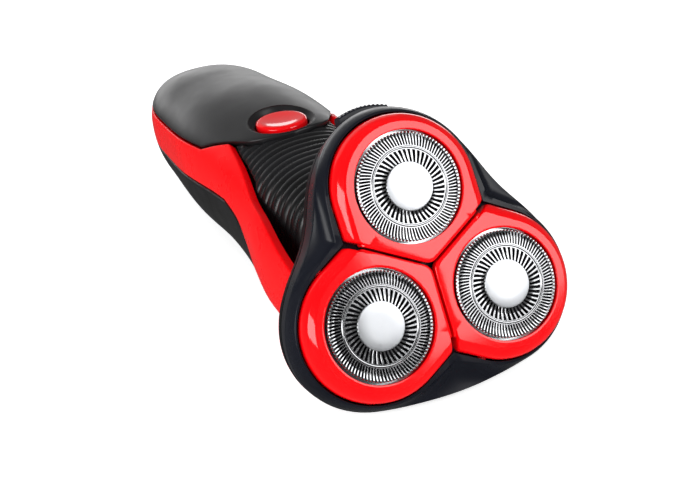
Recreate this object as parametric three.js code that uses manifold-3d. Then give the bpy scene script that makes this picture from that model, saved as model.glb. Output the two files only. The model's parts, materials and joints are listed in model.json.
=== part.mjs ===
// Rotary electric shaver with three floating cutters, lying on its back.
// Millimetres. +Z up, +X to the shaver's own right hand side as the head sees it,
// -Y the way the cutters face, +Y towards the tail of the handle.
// The head is built in a tilted group: its own +Z is the cutters' outward normal,
// its own +Y points to the top lobe, and its origin is the middle of the cutter plane.

import * as THREE from 'three';
import { mergeVertices } from 'three/addons/utils/BufferGeometryUtils.js';
import Module from 'manifold-3d';

const wasm = await Module();
wasm.setup();

// ---------------------------------------------------------------- driving dimensions
const headTiltDeg = 24.5;          // cutter plane leans back from upright by this much
const headCentreY = -79.125;        // middle of the cutter plane in the part's frame
const headCentreZ = 27.9982;
const neckRootDepth = 18;          // handle axis starts this far behind the cutter plane

const lobeRadius = 16.1;           // head centre to each cutter centre
const lobeAngles = { top: 90, right: -30, left: 210 };

const petalHalfWidth = 15.15;      // outline radius of a petal, and half its width
const plateauHalfWidth = 13;       // flat top of a petal, inside the bevel
const petalThickness = 2;
const petalSkirtBottom = -6.2;
const cutterHoleRadius = 11.3;
const mitreGap = 0.3;              // half the gap between neighbouring petals
const petalFrameGap = 0.35;
const trunnionDepth = -5;
const trunnionRadius = 0.9;

const foilRadius = 10.8;
const foilProud = 0.45;
const foilFlangeRadius = 12;
const bladeRadius = 9.4;
const bladeCount = 8;

const seamDepth = -11.55;          // parting plane between the head frame and its base
const seamGap = 0.15;              // each side of the parting plane
const baseBottomDepth = -21;
const baseBottomRadius = 13;
const wall = 1.8;

const hingeY = -23.9;              // head hinge pin, in the head's own frame
const hingeBarrelRadius = 1.15;
const hingePinRadius = 0.55;

const gearTeeth = 18;
const pinionTeeth = 6;
const gearTop = -14.4;
const gearBottom = -16.8;
const gearModule = lobeRadius * 2 / (gearTeeth + pinionTeeth);

const handleStart = 12;            // stations are distances from the neck root
const scoopStart = 5.5;            // the outer shell reaches under the neck from here
const handleEnd = 150;
const tailStart = 118;             // the handle closes like an ellipse from here
const tailTip = 156;
const upperPower = 2.4;            // 2 is an ellipse, more is squarer
const shellGap = 0.25;             // half the gap between neighbouring shells
const handleProfile = [            // station, half width, front, back, widest height, lower squareness
  [5.5, 21.2, 12.4, 20.5, -6.4, 3.8],
  [30, 21.6, 13.6, 20.5, -4.7, 3.6],
  [46, 20.0, 15.0, 20.5, -1.7, 2.8],
  [64, 20.1, 16.8, 20.0, 0.2, 2.4],
  [90, 20.9, 17.6, 20.1, 0, 2.4],
  [118, 19.6, 15.9, 18.3, -0.3, 2.4],
  [150, 19.0, 15.0, 15.5, 0, 2.4],
];
const gripProfile = [              // station, half width, front, back of the slimmer neck grip
  [12, 13.0, 12.6, 13.0, 0, 2.2],
  [30, 15.0, 13.2, 14.0, 0, 2.2],
  [46, 16.8, 14.4, 14.6, 0, 2.3],
  [66, 18.2, 16.2, 15.0, 0, 2.3],
];

const panelCornerAngle = 62;       // where the panel's front edge meets its side edge
const panelTipAngle = 45.5;        // where panel, side trim and grip meet
const panelFrontEdge = [[0, 54.2], [20, 55.5], [36, 58.8], [45.5, 65.2], [62, 77.5]];
const panelSideEdge = [[77.5, 62], [96, 67.5], [118, 71], [150, 71]];
const scoopEdge = [[5.5, 88], [12, 86], [20, 81], [31, 72.5], [41, 67], [54, 53.5], [65.2, 45.5]];
const backSideEdge = [[58, 83.8], [67, 86], [80, 89.5], [96, 94], [118, 99], [150, 101]];
const backFrontEdge = [[83.8, 58], [89, 50], [98, 46], [108, 42.8], [120, 42], [180, 42]];

const buttonStation = 64.2;
const buttonHalfWidth = 6.4;
const buttonHalfLength = 6.9;
const recessHalfWidth = 8.4;
const recessHalfLength = 9.1;

// ---------------------------------------------------------------- materials
const plastic = (color, roughness) => new THREE.MeshStandardMaterial({ color, roughness, metalness: 0 });
const metal = (color, roughness) => new THREE.MeshStandardMaterial({ color, roughness, metalness: 1 });
const redGloss = plastic(0xd9060f, 0.15);
const blackGloss = plastic(0x0b0b0d, 0.12);
const blackSatin = plastic(0x17191d, 0.35);
const blackRubber = plastic(0x131313, 0.75);
const greyNylon = plastic(0x8c9096, 0.5);
const whiteNylon = plastic(0xe6e4dc, 0.45);
const chrome = metal(0xd8dade, 0.18);
const steel = metal(0x9a9da2, 0.35);
const brass = metal(0xb5a068, 0.35);
const boardGreen = plastic(0x1d5b34, 0.5);
const cellBlue = plastic(0x2b5f9e, 0.4);

// ---------------------------------------------------------------- small helpers
const rad = (deg) => deg * Math.PI / 180;
const mix = (a, b, t) => a + (b - a) * t;

function curveThrough(points, x) {
  // smooth curve through [x, y] pairs, straight on past both ends
  let i = 0;
  while (i < points.length - 2 && x > points[i + 1][0]) i += 1;
  const [x0, y0] = points[i];
  const [x1, y1] = points[i + 1];
  const before = points[Math.max(i - 1, 0)];
  const after = points[Math.min(i + 2, points.length - 1)];
  const slope0 = (y1 - before[1]) / (x1 - before[0]);
  const slope1 = (after[1] - y0) / (after[0] - x0);
  const t = Math.min(Math.max((x - x0) / (x1 - x0), 0), 1);
  const span = x1 - x0;
  const h00 = (1 + 2 * t) * (1 - t) * (1 - t);
  const h10 = t * (1 - t) * (1 - t);
  const h01 = t * t * (3 - 2 * t);
  const h11 = t * t * (t - 1);
  return h00 * y0 + h10 * span * slope0 + h01 * y1 + h11 * span * slope1;
}

function signedVolume(positions, index) {
  let total = 0;
  const a = new THREE.Vector3();
  const b = new THREE.Vector3();
  const c = new THREE.Vector3();
  for (let i = 0; i < index.length; i += 3) {
    a.fromArray(positions, index[i] * 3);
    b.fromArray(positions, index[i + 1] * 3);
    c.fromArray(positions, index[i + 2] * 3);
    total += a.dot(b.cross(c));
  }
  return total;
}

function closedGeometry(positions, index) {
  // a closed surface with every face turned outwards
  if (signedVolume(positions, index) < 0) {
    for (let i = 0; i < index.length; i += 3) [index[i], index[i + 1]] = [index[i + 1], index[i]];
  }
  const geometry = new THREE.BufferGeometry();
  geometry.setAttribute('position', new THREE.Float32BufferAttribute(positions, 3));
  geometry.setIndex(index);
  return geometry;
}

function loftRings(rings) {
  // rings of equal length joined one to the next, and the last back to the first
  const count = rings[0].length;
  const positions = rings.flat().flatMap((p) => [p.x, p.y, p.z]);
  const index = [];
  for (let k = 0; k < rings.length; k += 1) {
    const next = (k + 1) % rings.length;
    for (let i = 0; i < count; i += 1) {
      const j = (i + 1) % count;
      const [a, b] = [k * count + i, k * count + j];
      const [c, d] = [next * count + i, next * count + j];
      index.push(a, b, d, a, d, c);
    }
  }
  return closedGeometry(positions, index);
}

function loftPatch(columns, rows, outerPoint, innerPoint) {
  // an open patch of shell: outer and inner grids, joined round their shared border
  const rings = [];
  for (let c = 0; c <= columns; c += 1) {
    const ring = [];
    for (let r = 0; r <= rows; r += 1) ring.push(outerPoint(c / columns, r / rows));
    for (let r = rows; r >= 0; r -= 1) ring.push(innerPoint(c / columns, r / rows));
    rings.push(ring);
  }
  return loftSolid(rings);
}

function loftSolid(rings) {
  // rings joined in a row, with the first and last ones closed by flat strips
  const count = rings[0].length;
  const positions = rings.flat().flatMap((p) => [p.x, p.y, p.z]);
  const index = [];
  for (let k = 0; k < rings.length - 1; k += 1) {
    for (let i = 0; i < count; i += 1) {
      const j = (i + 1) % count;
      const [a, b] = [k * count + i, k * count + j];
      const [c, d] = [(k + 1) * count + i, (k + 1) * count + j];
      index.push(a, b, d, a, d, c);
    }
  }
  const last = (rings.length - 1) * count;
  for (let i = 0; i < count / 2 - 1; i += 1) {
    const j = count - 1 - i;
    index.push(i, j - 1, i + 1, i, j, j - 1);
    index.push(last + i, last + i + 1, last + j - 1, last + i, last + j - 1, last + j);
  }
  return closedGeometry(positions, index);
}

function merge(geometry) {
  const bare = geometry.clone();
  bare.deleteAttribute('normal');
  bare.deleteAttribute('uv');
  return mergeVertices(bare, 1e-3);
}

function facedOut(geometry) {
  const merged = merge(geometry);
  const { array } = merged.attributes.position;
  const index = [...merged.index.array];
  const whole = index.filter((v, i) => {
    const first = i - i % 3;
    const [a, b, c] = index.slice(first, first + 3);
    return a !== b && b !== c && a !== c;
  });
  return closedGeometry([...array], whole);
}

function solid(geometry) {
  const merged = merge(geometry);
  return new wasm.Manifold(new wasm.Mesh({
    numProp: 3,
    vertProperties: new Float32Array(merged.attributes.position.array),
    triVerts: new Uint32Array(merged.index.array),
  }));
}

function geometryOf(body) {
  const mesh = body.getMesh();
  const geometry = new THREE.BufferGeometry();
  geometry.setAttribute('position', new THREE.BufferAttribute(new Float32Array(mesh.vertProperties), 3));
  geometry.setIndex(new THREE.BufferAttribute(new Uint32Array(mesh.triVerts), 1));
  return geometry;
}

const join = (first, ...others) => geometryOf(others.reduce((sum, g) => sum.add(solid(g)), solid(first)));
const cut = (first, ...others) => geometryOf(others.reduce((sum, g) => sum.subtract(solid(g)), solid(first)));

function turned(profile, segments) {
  // a profile of [radius, height] pairs turned round +Z
  const points = profile.map(([r, h]) => new THREE.Vector2(r, h));
  return facedOut(new THREE.LatheGeometry(points, segments).rotateX(Math.PI / 2));
}

function rod(radius, bottom, top, segments = 16) {
  return new THREE.CylinderGeometry(radius, radius, top - bottom, segments)
    .rotateX(Math.PI / 2)
    .translate(0, 0, (bottom + top) / 2);
}

function block(x0, x1, y0, y1, z0, z1) {
  return new THREE.BoxGeometry(x1 - x0, y1 - y0, z1 - z0)
    .translate((x0 + x1) / 2, (y0 + y1) / 2, (z0 + z1) / 2);
}

function slab(points, bottom, top) {
  // a flat outline in x and y, from one height to another
  const shape = new THREE.Shape(points.map(([x, y]) => new THREE.Vector2(x, y)));
  return new THREE.ExtrudeGeometry(shape, { depth: top - bottom, bevelEnabled: false }).translate(0, 0, bottom);
}

function ellipse(halfWidth, halfLength, count, centreY = 0) {
  const points = [];
  for (let i = 0; i < count; i += 1) {
    const turn = i / count * 2 * Math.PI;
    points.push([halfWidth * Math.cos(turn), centreY + halfLength * Math.sin(turn)]);
  }
  return points;
}

function named(name, geometry, material) {
  const mesh = new THREE.Mesh(geometry, material);
  mesh.name = name;
  return mesh;
}

// ---------------------------------------------------------------- head outlines
const fromLobe = (deg) => ((deg - 90 + 60) % 120 + 120) % 120 - 60;   // angle off the nearest lobe
const lobeWave = (deg) => Math.cos(rad(3 * fromLobe(deg)));           // 1 at a lobe, -1 in a valley

function petalReach(deg, halfWidth) {
  // the three petals' common outline, seen from the head's middle
  const side = Math.abs(Math.sin(rad(fromLobe(deg))));
  const along = Math.cos(rad(fromLobe(deg)));
  const straight = halfWidth / Math.max(side, 1e-6);
  if (straight * along <= lobeRadius) return straight;
  return lobeRadius * along + Math.sqrt(halfWidth ** 2 - (lobeRadius * side) ** 2);
}

function backBulge(deg, halfSpan = 35) {
  // 1 in the middle of the head's back edge, fading to 0 half a span to either side
  const offset = ((deg - 270) % 360 + 540) % 360 - 180;
  const reach = Math.min(Math.abs(offset) / halfSpan, 1);
  return Math.cos(reach * Math.PI / 2) ** 2;
}

function headReach(deg) {
  // widest outline of the black head: three lobes, and a fuller back edge
  return 28.85 + 4.75 * lobeWave(deg) - 0.15 * Math.cos(rad(6 * fromLobe(deg))) + 2.2 * backBulge(deg);
}

const rimHeight = (deg) => -3.75 - 0.85 * lobeWave(deg);
const widestHeight = (deg) => -7.25 - 1.75 * lobeWave(deg);

function backInset(deg, height) {
  // the head's back lies flat on the table, so it leans in below the widest line
  const frameLean = 0.14 * Math.min(Math.max(-6 - height, 0), 5.7);
  const baseLean = 0.456 * Math.max(seamDepth - height, 0);
  return frameLean * backBulge(deg) + baseLean * backBulge(deg, 60);
}

function headRing(count, reachAt, heightAt) {
  const ring = [];
  for (let i = 0; i < count; i += 1) {
    const deg = i / count * 360;
    const reach = reachAt(deg);
    ring.push(new THREE.Vector3(reach * Math.cos(rad(deg)), reach * Math.sin(rad(deg)), heightAt(deg)));
  }
  return ring;
}

const outerReach = (deg, height, inset) => headReach(deg) - inset - backInset(deg, height);

// ---------------------------------------------------------------- head frame and its petals
function headFrameGeometry() {
  const count = 36;
  const pocket = (deg) => petalReach(deg, petalHalfWidth + petalFrameGap);
  const valley = (deg) => ((1 - lobeWave(deg)) / 2) ** 3;
  const ledge = (deg) => pocket(deg) + 0.45 + 1.1 * valley(deg);
  const bottom = seamDepth + seamGap;
  const ring = loftRings([
    headRing(count, pocket, rimHeight),
    headRing(count, ledge, (d) => rimHeight(d) - 0.1),
    headRing(count, (d) => mix(ledge(d), headReach(d), 0.35), (d) => mix(rimHeight(d), widestHeight(d), 0.7)),
    headRing(count, headReach, widestHeight),
    headRing(count, (d) => outerReach(d, bottom, 0.3), () => bottom),
    headRing(count, (d) => outerReach(d, bottom, 0.3 + wall), () => bottom),
    headRing(count, (d) => outerReach(d, bottom, 0.3 + wall), () => -8.4),
    headRing(count, pocket, () => -7.6),
  ]);
  const arms = Object.values(lobeAngles).map((deg) => block(0, 18.6, -1.5, 1.5, -5.3, -3.8)
    .rotateZ(rad(deg + 180)));
  const boss = rod(4, -5.2, -3.2, 24);
  const notches = Object.values(lobeAngles).map((deg) => rod(trunnionRadius + 0.4, -16.3, 16.3)
    .rotateY(Math.PI / 2)
    .translate(0, lobeRadius, trunnionDepth)
    .rotateZ(rad(deg - 90)));
  const hingeRelief = block(-14.5, 14.5, -30, hingeY + 1.5, seamDepth - 1, seamDepth + 1.9);
  const body = cut(join(ring, ...arms, boss), rod(2.3, -6, -2), ...notches, hingeRelief);
  const knuckle = hingeKnuckle(-7.4, 7.4);
  const strap = block(-7.4, 7.4, hingeY - 0.4, hingeY + 1.9, seamDepth + 0.7, seamDepth + 2.3);
  return cut(join(body, knuckle, strap), hingeBore());
}

function hingeKnuckle(x0, x1) {
  return rod(hingeBarrelRadius, x0, x1, 20).rotateY(Math.PI / 2).translate(0, hingeY, seamDepth);
}

function hingeBore() {
  return rod(hingePinRadius + 0.3, -20, 20, 16).rotateY(Math.PI / 2).translate(0, hingeY, seamDepth);
}

function petalRing(halfWidth, mitreInset, outerHeight, mitreHeight) {
  // outline of one petal round its cutter: half a circle, two straight sides, two mitred edges
  const sideX = halfWidth;
  const cornerY = sideX * Math.tan(rad(30)) + mitreInset / Math.cos(rad(30));
  const tipY = mitreInset / Math.cos(rad(30));
  const right = [];
  const steps = [0, 0.25, 0.5, 0.72, 0.86];
  for (const t of steps) right.push([sideX * t, mix(tipY, cornerY, t), mitreHeight]);
  for (const t of [0, 0.36, 0.5]) {
    const y = mix(cornerY, lobeRadius, t);
    right.push([sideX, y, outerHeight(sideX, y, t < 0.4)]);
  }
  for (let deg = 0; deg < 90; deg += 15) {
    const x = sideX * Math.cos(rad(deg));
    const y = lobeRadius + sideX * Math.sin(rad(deg));
    right.push([x, y, outerHeight(x, y, false)]);
  }
  const top = [0, lobeRadius + sideX, outerHeight(0, lobeRadius + sideX, false)];
  const left = right.slice(1).reverse().map(([x, y, h]) => [-x, y, h]);
  return [...right, top, ...left].map(([x, y, h]) => new THREE.Vector3(x, y, h));
}

function holeRing(outline, height) {
  return outline.map((p) => {
    const turn = Math.atan2(p.y - lobeRadius, p.x);
    const x = cutterHoleRadius * Math.cos(turn);
    const y = lobeRadius + cutterHoleRadius * Math.sin(turn);
    return new THREE.Vector3(x, y, height);
  });
}

function petalGeometry() {
  const edge = (x, y) => rimHeight(Math.atan2(y, x) * 180 / Math.PI) + 0.2;
  const skirt = (x, y, nearMitre) => (nearMitre ? -3.2 : petalSkirtBottom);
  const outline = petalRing(petalHalfWidth, mitreGap, edge, -0.8);
  const under = -petalThickness;
  const shell = loftRings([
    holeRing(outline, 0),
    petalRing(plateauHalfWidth, 1, () => 0, 0),
    petalRing(14.5, 0.45, (x, y) => 0.35 * edge(x, y), -0.35),
    outline,
    petalRing(petalHalfWidth, mitreGap, skirt, under),
    petalRing(14, 0.9, skirt, under),
    petalRing(13.6, 1.3, () => under, under),
    holeRing(outline, under),
  ]);
  const trunnions = [-1, 1].map((side) => rod(trunnionRadius, 14.3, 15.95, 12)
    .rotateY(side * Math.PI / 2)
    .translate(0, lobeRadius, trunnionDepth));
  return join(shell, ...trunnions);
}

// ---------------------------------------------------------------- cutters
function foilGeometry() {
  const flangeTop = -petalThickness - 0.3;
  return turned([
    [0, foilProud], [foilRadius - 0.5, foilProud], [foilRadius, foilProud - 0.35], [foilRadius, flangeTop],
    [foilFlangeRadius, flangeTop], [foilFlangeRadius, flangeTop - 0.8], [foilRadius - 0.7, flangeTop - 0.8],
    [foilRadius - 0.7, foilProud - 0.6], [0, foilProud - 0.6],
  ], 24);
}

function bladeGeometry() {
  const hub = turned([
    [0, -1.9], [bladeRadius, -1.9], [bladeRadius, -2.6], [3.4, -2.6], [3.4, -6.2], [2.4, -6.2],
    [2.4, -2.9], [0, -2.9],
  ], 16);
  const vanes = [];
  for (let i = 0; i < bladeCount; i += 1) {
    vanes.push(block(5.2, bladeRadius - 0.1, -0.3, 0.3, -2.1, -0.45).rotateZ(i / bladeCount * 2 * Math.PI));
  }
  return join(hub, ...vanes);
}

function spindleGeometry() {
  // one gear with its shaft and the narrow drive tip that turns the blade
  const gear = toothedWheel(gearTeeth, gearBottom, gearTop);
  const shaft = turned([
    [0, -17.3], [1.5, -17.3], [1.5, -16], [3.6, -16], [3.6, -13.9], [1.7, -13.9], [1.7, -6.9],
    [1.2, -6.6], [1.2, -4], [0, -4],
  ], 16);
  return join(gear, shaft);
}

function toothedWheel(teeth, bottom, top) {
  const pitch = gearModule * teeth / 2;
  const points = [];
  for (let i = 0; i < teeth; i += 1) {
    for (const [share, radius] of [[-0.27, -1], [-0.09, 0.6], [0.09, 0.6], [0.27, -1]]) {
      const turn = (i + share) / teeth * 2 * Math.PI;
      points.push([(pitch + radius * gearModule) * Math.cos(turn), (pitch + radius * gearModule) * Math.sin(turn)]);
    }
  }
  return slab(points, bottom, top);
}

function pinionGeometry() {
  // the small gear on the head's axis, with a cup below that takes the motor's ball end
  const wheel = toothedWheel(pinionTeeth, gearBottom, gearTop);
  const cup = turned([
    [0, -16.5], [2.4, -16.5], [3.4, -17], [3.4, -20.4], [2.5, -20.4], [2.5, -17.2], [0, -17.2],
  ], 20);
  return join(wheel, cup);
}

function retainerGeometry() {
  const centres = Object.values(lobeAngles).map((deg) => [lobeRadius * Math.cos(rad(deg)), lobeRadius * Math.sin(rad(deg))]);
  const rings = centres.map(([x, y]) => rod(12.3, -7, -6, 20).translate(x, y, 0));
  const holes = centres.map(([x, y]) => rod(7.6, -8, -5, 16).translate(x, y, 0));
  return cut(join(rod(5.6, -7, -6, 24), ...rings), rod(2.5, -8, -5), ...holes);
}

function retainerKnobGeometry() {
  const wings = block(-4.6, 4.6, -1.1, 1.1, -10.3, -8.4);
  return join(turned([[0, -8.6], [4.4, -8.6], [4.4, -7.3], [1.8, -7.3], [1.8, -3.8], [0, -3.8]], 20), wings);
}

// ---------------------------------------------------------------- head base
const screwSpots = [30, 150, 270].map((deg) => [16.6 * Math.cos(rad(deg)), 16.6 * Math.sin(rad(deg))]);
const lowerReach = (deg, share, inset) => mix(outerReach(deg, -17.8, 1.5), baseBottomRadius, share) - inset;

function headBaseGeometry() {
  const count = 36;
  const top = seamDepth - seamGap;
  const shell = loftRings([
    headRing(count, (d) => outerReach(d, top, 0.3), () => top),
    headRing(count, (d) => outerReach(d, -14.5, 0.7), () => -14.5),
    headRing(count, (d) => lowerReach(d, 0, 0), () => -17.6),
    headRing(count, (d) => lowerReach(d, 0.3, 0), () => -19.2),
    headRing(count, (d) => lowerReach(d, 0.7, 0), () => -20.1),
    headRing(count, () => baseBottomRadius, () => baseBottomDepth),
    headRing(count, () => baseBottomRadius - wall, () => baseBottomDepth),
    headRing(count, () => baseBottomRadius - wall - 0.2, () => -19.4),
    headRing(count, () => 4.6, () => -19.2),
    headRing(count, () => 4.6, () => -17.9),
    headRing(count, (d) => lowerReach(d, 0, wall + 0.4), () => -17.3),
    headRing(count, (d) => outerReach(d, -14.5, 0.7 + wall), () => -14.5),
    headRing(count, (d) => outerReach(d, top, 0.3 + wall), () => top),
  ]);
  const bosses = screwSpots.map(([x, y]) => rod(2.4, -18.3, -13.9, 16).translate(x, y, 0));
  const bores = screwSpots.map(([x, y]) => rod(0.95, -17.2, -13, 10).translate(x, y, 0));
  const bearings = lobeCentres.map(([x, y]) => rod(1.9, -17.75, -16.9, 16).translate(x, y, 0));
  const relief = block(-14.5, 14.5, -30, hingeY + 1.5, seamDepth - 1.7, seamDepth + 1);
  const swingRoom = block(-21.5, 21.5, -30, hingeY + 0.4, seamDepth - 1.5, seamDepth + 1);
  const slot = block(-5.9, 5.9, 28, 36, -16.3, -12);
  const body = cut(join(shell, ...bosses), ...bores, ...bearings, relief, swingRoom, slot);
  const knuckles = [[-13.4, -7.8], [7.8, 13.4]].map(([x0, x1]) => hingeKnuckle(x0, x1));
  const straps = [[-13.4, -7.8], [7.8, 13.4]].map(([x0, x1]) => block(
    x0, x1, hingeY - 0.4, hingeY + 1.2, seamDepth - 2.2, seamDepth - 0.7,
  ));
  return cut(join(body, ...knuckles, ...straps), hingeBore());
}

const lobeCentres = Object.values(lobeAngles).map((deg) => [
  lobeRadius * Math.cos(rad(deg)), lobeRadius * Math.sin(rad(deg)),
]);

function gearCoverGeometry() {
  const outline = headRing(36, (d) => outerReach(d, -14, 0.7 + wall + 1.1), () => 0).map((p) => [p.x, p.y]);
  const spindleHoles = lobeCentres.map(([x, y]) => rod(2.5, -14, -12, 16).translate(x, y, 0));
  const screwHoles = screwSpots.map(([x, y]) => rod(1.3, -14, -12, 12).translate(x, y, 0));
  return cut(slab(outline, -13.6, -12.6), ...spindleHoles, ...screwHoles);
}

function coverScrewGeometry() {
  const body = turned([[0, -16.6], [0.7, -16.6], [0.7, -12.3], [1.9, -12.3], [1.9, -11.5], [0, -11.2]], 12);
  return cut(body, block(-1.6, 1.6, -0.2, 0.2, -11.7, -11));
}

function releaseButtonGeometry() {
  const body = block(-5.5, 5.5, 31.4, 34, -15.9, -12.4);
  const ridges = [];
  for (let x = -4.8; x <= 4.9; x += 1.2) ridges.push(block(x - 0.32, x + 0.32, 33.8, 34.5, -15.6, -12.7));
  return join(body, ...ridges);
}

function hingePinGeometry() {
  return rod(hingePinRadius, -13.2, 13.2, 12).rotateY(Math.PI / 2).translate(0, hingeY, seamDepth);
}

// ---------------------------------------------------------------- handle surface
function sectionAt(profile, station) {
  const past = Math.max(station - tailStart, 0) / (tailTip - tailStart);
  const close = Math.sqrt(Math.max(1 - past ** 2.2, 0));
  const value = (column) => curveThrough(profile.map((row) => [row[0], row[column]]), station);
  return {
    halfWidth: value(1) * close,
    front: value(2) * close,
    back: value(3) * close,
    middle: value(4) * close,
    lowerPower: value(5),
  };
}

function handlePoint(station, deg, inset, profile = handleProfile) {
  // a point of the handle: angle 0 is the front (up), 90 the right side, 180 the back
  const section = sectionAt(profile, station);
  const [side, rise] = [Math.sin(rad(deg)), Math.cos(rad(deg))];
  let [inside, outside] = [0, 60];
  for (let i = 0; i < 40; i += 1) {
    const radius = (inside + outside) / 2;
    const height = radius * rise - section.middle;
    const reach = height > 0 ? section.front - section.middle : section.back + section.middle;
    const power = height > 0 ? upperPower : section.lowerPower;
    const level = Math.abs(radius * side / section.halfWidth) ** power + Math.abs(height / reach) ** power;
    if (level > 1) outside = radius;
    else inside = radius;
  }
  const radius = inside - inset;
  return new THREE.Vector3(radius * side, station, radius * rise);
}

function panelStart(deg) {
  // the front edge is a curve up to the tip and straight from there to the corner
  if (deg <= panelTipAngle) return curveThrough(panelFrontEdge.slice(0, 4), deg);
  return mix(panelFrontEdge[3][1], panelFrontEdge[4][1], (deg - panelTipAngle) / (panelCornerAngle - panelTipAngle));
}

function frontPanelGeometry() {
  const cornerStation = panelSideEdge[0][0];
  const side = (station) => curveThrough(panelSideEdge, Math.max(station, cornerStation)) - 0.7;
  const place = (inset) => (c, r) => {
    const share = c * 2 - 1;
    const start = panelStart(Math.abs(share) * panelCornerAngle) + shellGap;
    const station = mix(start, handleEnd, r);
    return handlePoint(station, share * side(station), inset);
  };
  const shell = loftPatch(12, 9, place(0), place(wall));
  return cut(shell, slab(ellipse(recessHalfWidth, recessHalfLength, 28, buttonStation), 8, 22));
}

function backShellGeometry() {
  const [edgeStation, edgeAngle] = backSideEdge[0];
  const side = (station) => curveThrough(backSideEdge, Math.max(station, edgeStation)) + 0.7;
  const place = (inset) => (c, r) => {
    const share = c * 2 - 1;
    const turn = 180 - Math.abs(share) * (180 - edgeAngle);
    const station = mix(curveThrough(backFrontEdge, turn) + shellGap, handleEnd, r);
    const deg = 180 + share * (180 - side(station));
    return handlePoint(station, deg, inset);
  };
  return loftPatch(16, 9, place(0), place(wall));
}

function trimEdges(s) {
  // both edges of the side trim on the right half, from the tail (0) round to the back middle (1)
  const cornerStation = panelSideEdge[0][0];
  const tipStation = panelFrontEdge[3][1];
  const [backStation, backAngle] = backSideEdge[0];
  if (s < 0.35) {
    const station = mix(handleEnd, cornerStation, s / 0.35);
    return [station, curveThrough(panelSideEdge, station), station, curveThrough(backSideEdge, station)];
  }
  if (s < 0.45) {
    const t = (s - 0.35) / 0.1;
    const station = mix(cornerStation, tipStation, t);
    return [station, mix(panelCornerAngle, panelTipAngle, t), station, curveThrough(backSideEdge, station)];
  }
  const scoopAngle = scoopEdge[0][1];
  const turnAtCorner = 110;
  if (s < 0.75) {
    const t = (s - 0.45) / 0.3;
    const top = mix(tipStation, scoopStart, t);
    const topAngle = curveThrough(scoopEdge, top);
    if (t < 0.2) {
      const station = mix(tipStation, backStation, t / 0.2);
      return [top, topAngle, station, curveThrough(backSideEdge, station)];
    }
    const turn = mix(backAngle, turnAtCorner, ((t - 0.2) / 0.8) ** 1.4);
    return [top, topAngle, curveThrough(backFrontEdge, turn), turn];
  }
  const t = (s - 0.75) / 0.25;
  const turn = mix(turnAtCorner, 180, t);
  return [scoopStart, mix(scoopAngle, 180, t), curveThrough(backFrontEdge, turn), turn];
}

function sideTrimGeometry() {
  const place = (inset) => (c, r) => {
    const s = 1 - Math.abs(c * 2 - 1);
    const [station0, deg0, station1, deg1] = trimEdges(s);
    const width = Math.hypot(station1 - station0, rad(deg1 - deg0) * 18);
    const t = mix(shellGap / width, 1 - shellGap / width, r);
    const deg = mix(deg0, deg1, t);
    return handlePoint(mix(station0, station1, t), c < 0.5 ? -deg : deg, inset);
  };
  return loftPatch(60, 3, place(0), place(wall));
}

function gripEnd(deg) {
  // flush with the panel in front, and tucked inside the side trim round the rest
  if (deg <= panelTipAngle) return panelStart(deg);
  return curveThrough([[45.5, 65.2], [50, 57.5], [53.5, 52.5], [60, 46.5], [75, 43], [180, 43]], deg);
}

function gripGeometry() {
  const turns = [];
  for (let i = 0; i <= 5; i += 1) turns.push(panelTipAngle * i / 5);
  for (let i = 1; i <= 12; i += 1) turns.push(mix(panelTipAngle, 180, i / 12));
  const mirrored = turns.slice(1, -1).reverse().map((deg) => 360 - deg);
  const all = [...turns, ...mirrored];
  const ring = (share, inset) => all.map((deg) => {
    const end = gripEnd(Math.min(deg, 360 - deg)) - shellGap;
    return handlePoint(mix(handleStart, end, share), deg, inset, gripProfile);
  });
  const shares = [0, 0.33, 0.66, 1];
  const outer = shares.map((share) => ring(share, 0));
  const inner = shares.map((share) => ring(share, wall)).reverse();
  return loftRings([...outer, ...inner]);
}

function neckCollarGeometry() {
  // a bent sleeve from the round bottom of the head base to the grip
  const count = 24;
  const headUp = new THREE.Vector3(0, Math.sin(rad(headTiltDeg)), Math.cos(rad(headTiltDeg)));
  const headOut = new THREE.Vector3(0, -Math.cos(rad(headTiltDeg)), Math.sin(rad(headTiltDeg)));
  const ring = (t, inset) => {
    const points = [];
    for (let i = 0; i < count; i += 1) {
      const turn = i / count * 2 * Math.PI;
      const depth = neckRootDepth + baseBottomDepth - 0.3;
      const radius = baseBottomRadius - inset;
      const start = headOut.clone().multiplyScalar(depth);
      start.addScaledVector(headUp, radius * Math.cos(turn));
      start.x = radius * Math.sin(turn);
      const end = handlePoint(handleStart - 0.35, turn * 180 / Math.PI, inset, gripProfile);
      const reach = start.distanceTo(end) * 0.35;
      const leave = start.clone().addScaledVector(headOut, -reach);
      const arrive = end.clone().add(new THREE.Vector3(0, -reach, 0));
      points.push(new THREE.CubicBezierCurve3(start, leave, arrive, end).getPoint(t));
    }
    return points;
  };
  const shares = [0, 0.25, 0.5, 0.75, 1];
  return loftRings([
    ...shares.map((t) => ring(t, 0)),
    ...shares.map((t) => ring(t, wall)).reverse(),
  ]);
}

// ---------------------------------------------------------------- button and inside of the handle
const frontHeight = sectionAt(handleProfile, buttonStation).front;

function buttonBezelGeometry() {
  const outer = ellipse(recessHalfWidth - 0.3, recessHalfLength - 0.3, 28, buttonStation);
  const inner = ellipse(buttonHalfWidth + 0.4, buttonHalfLength + 0.4, 28, buttonStation);
  return cut(slab(outer, frontHeight - 4.4, frontHeight - 1.5), slab(inner, frontHeight - 6, frontHeight));
}

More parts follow.
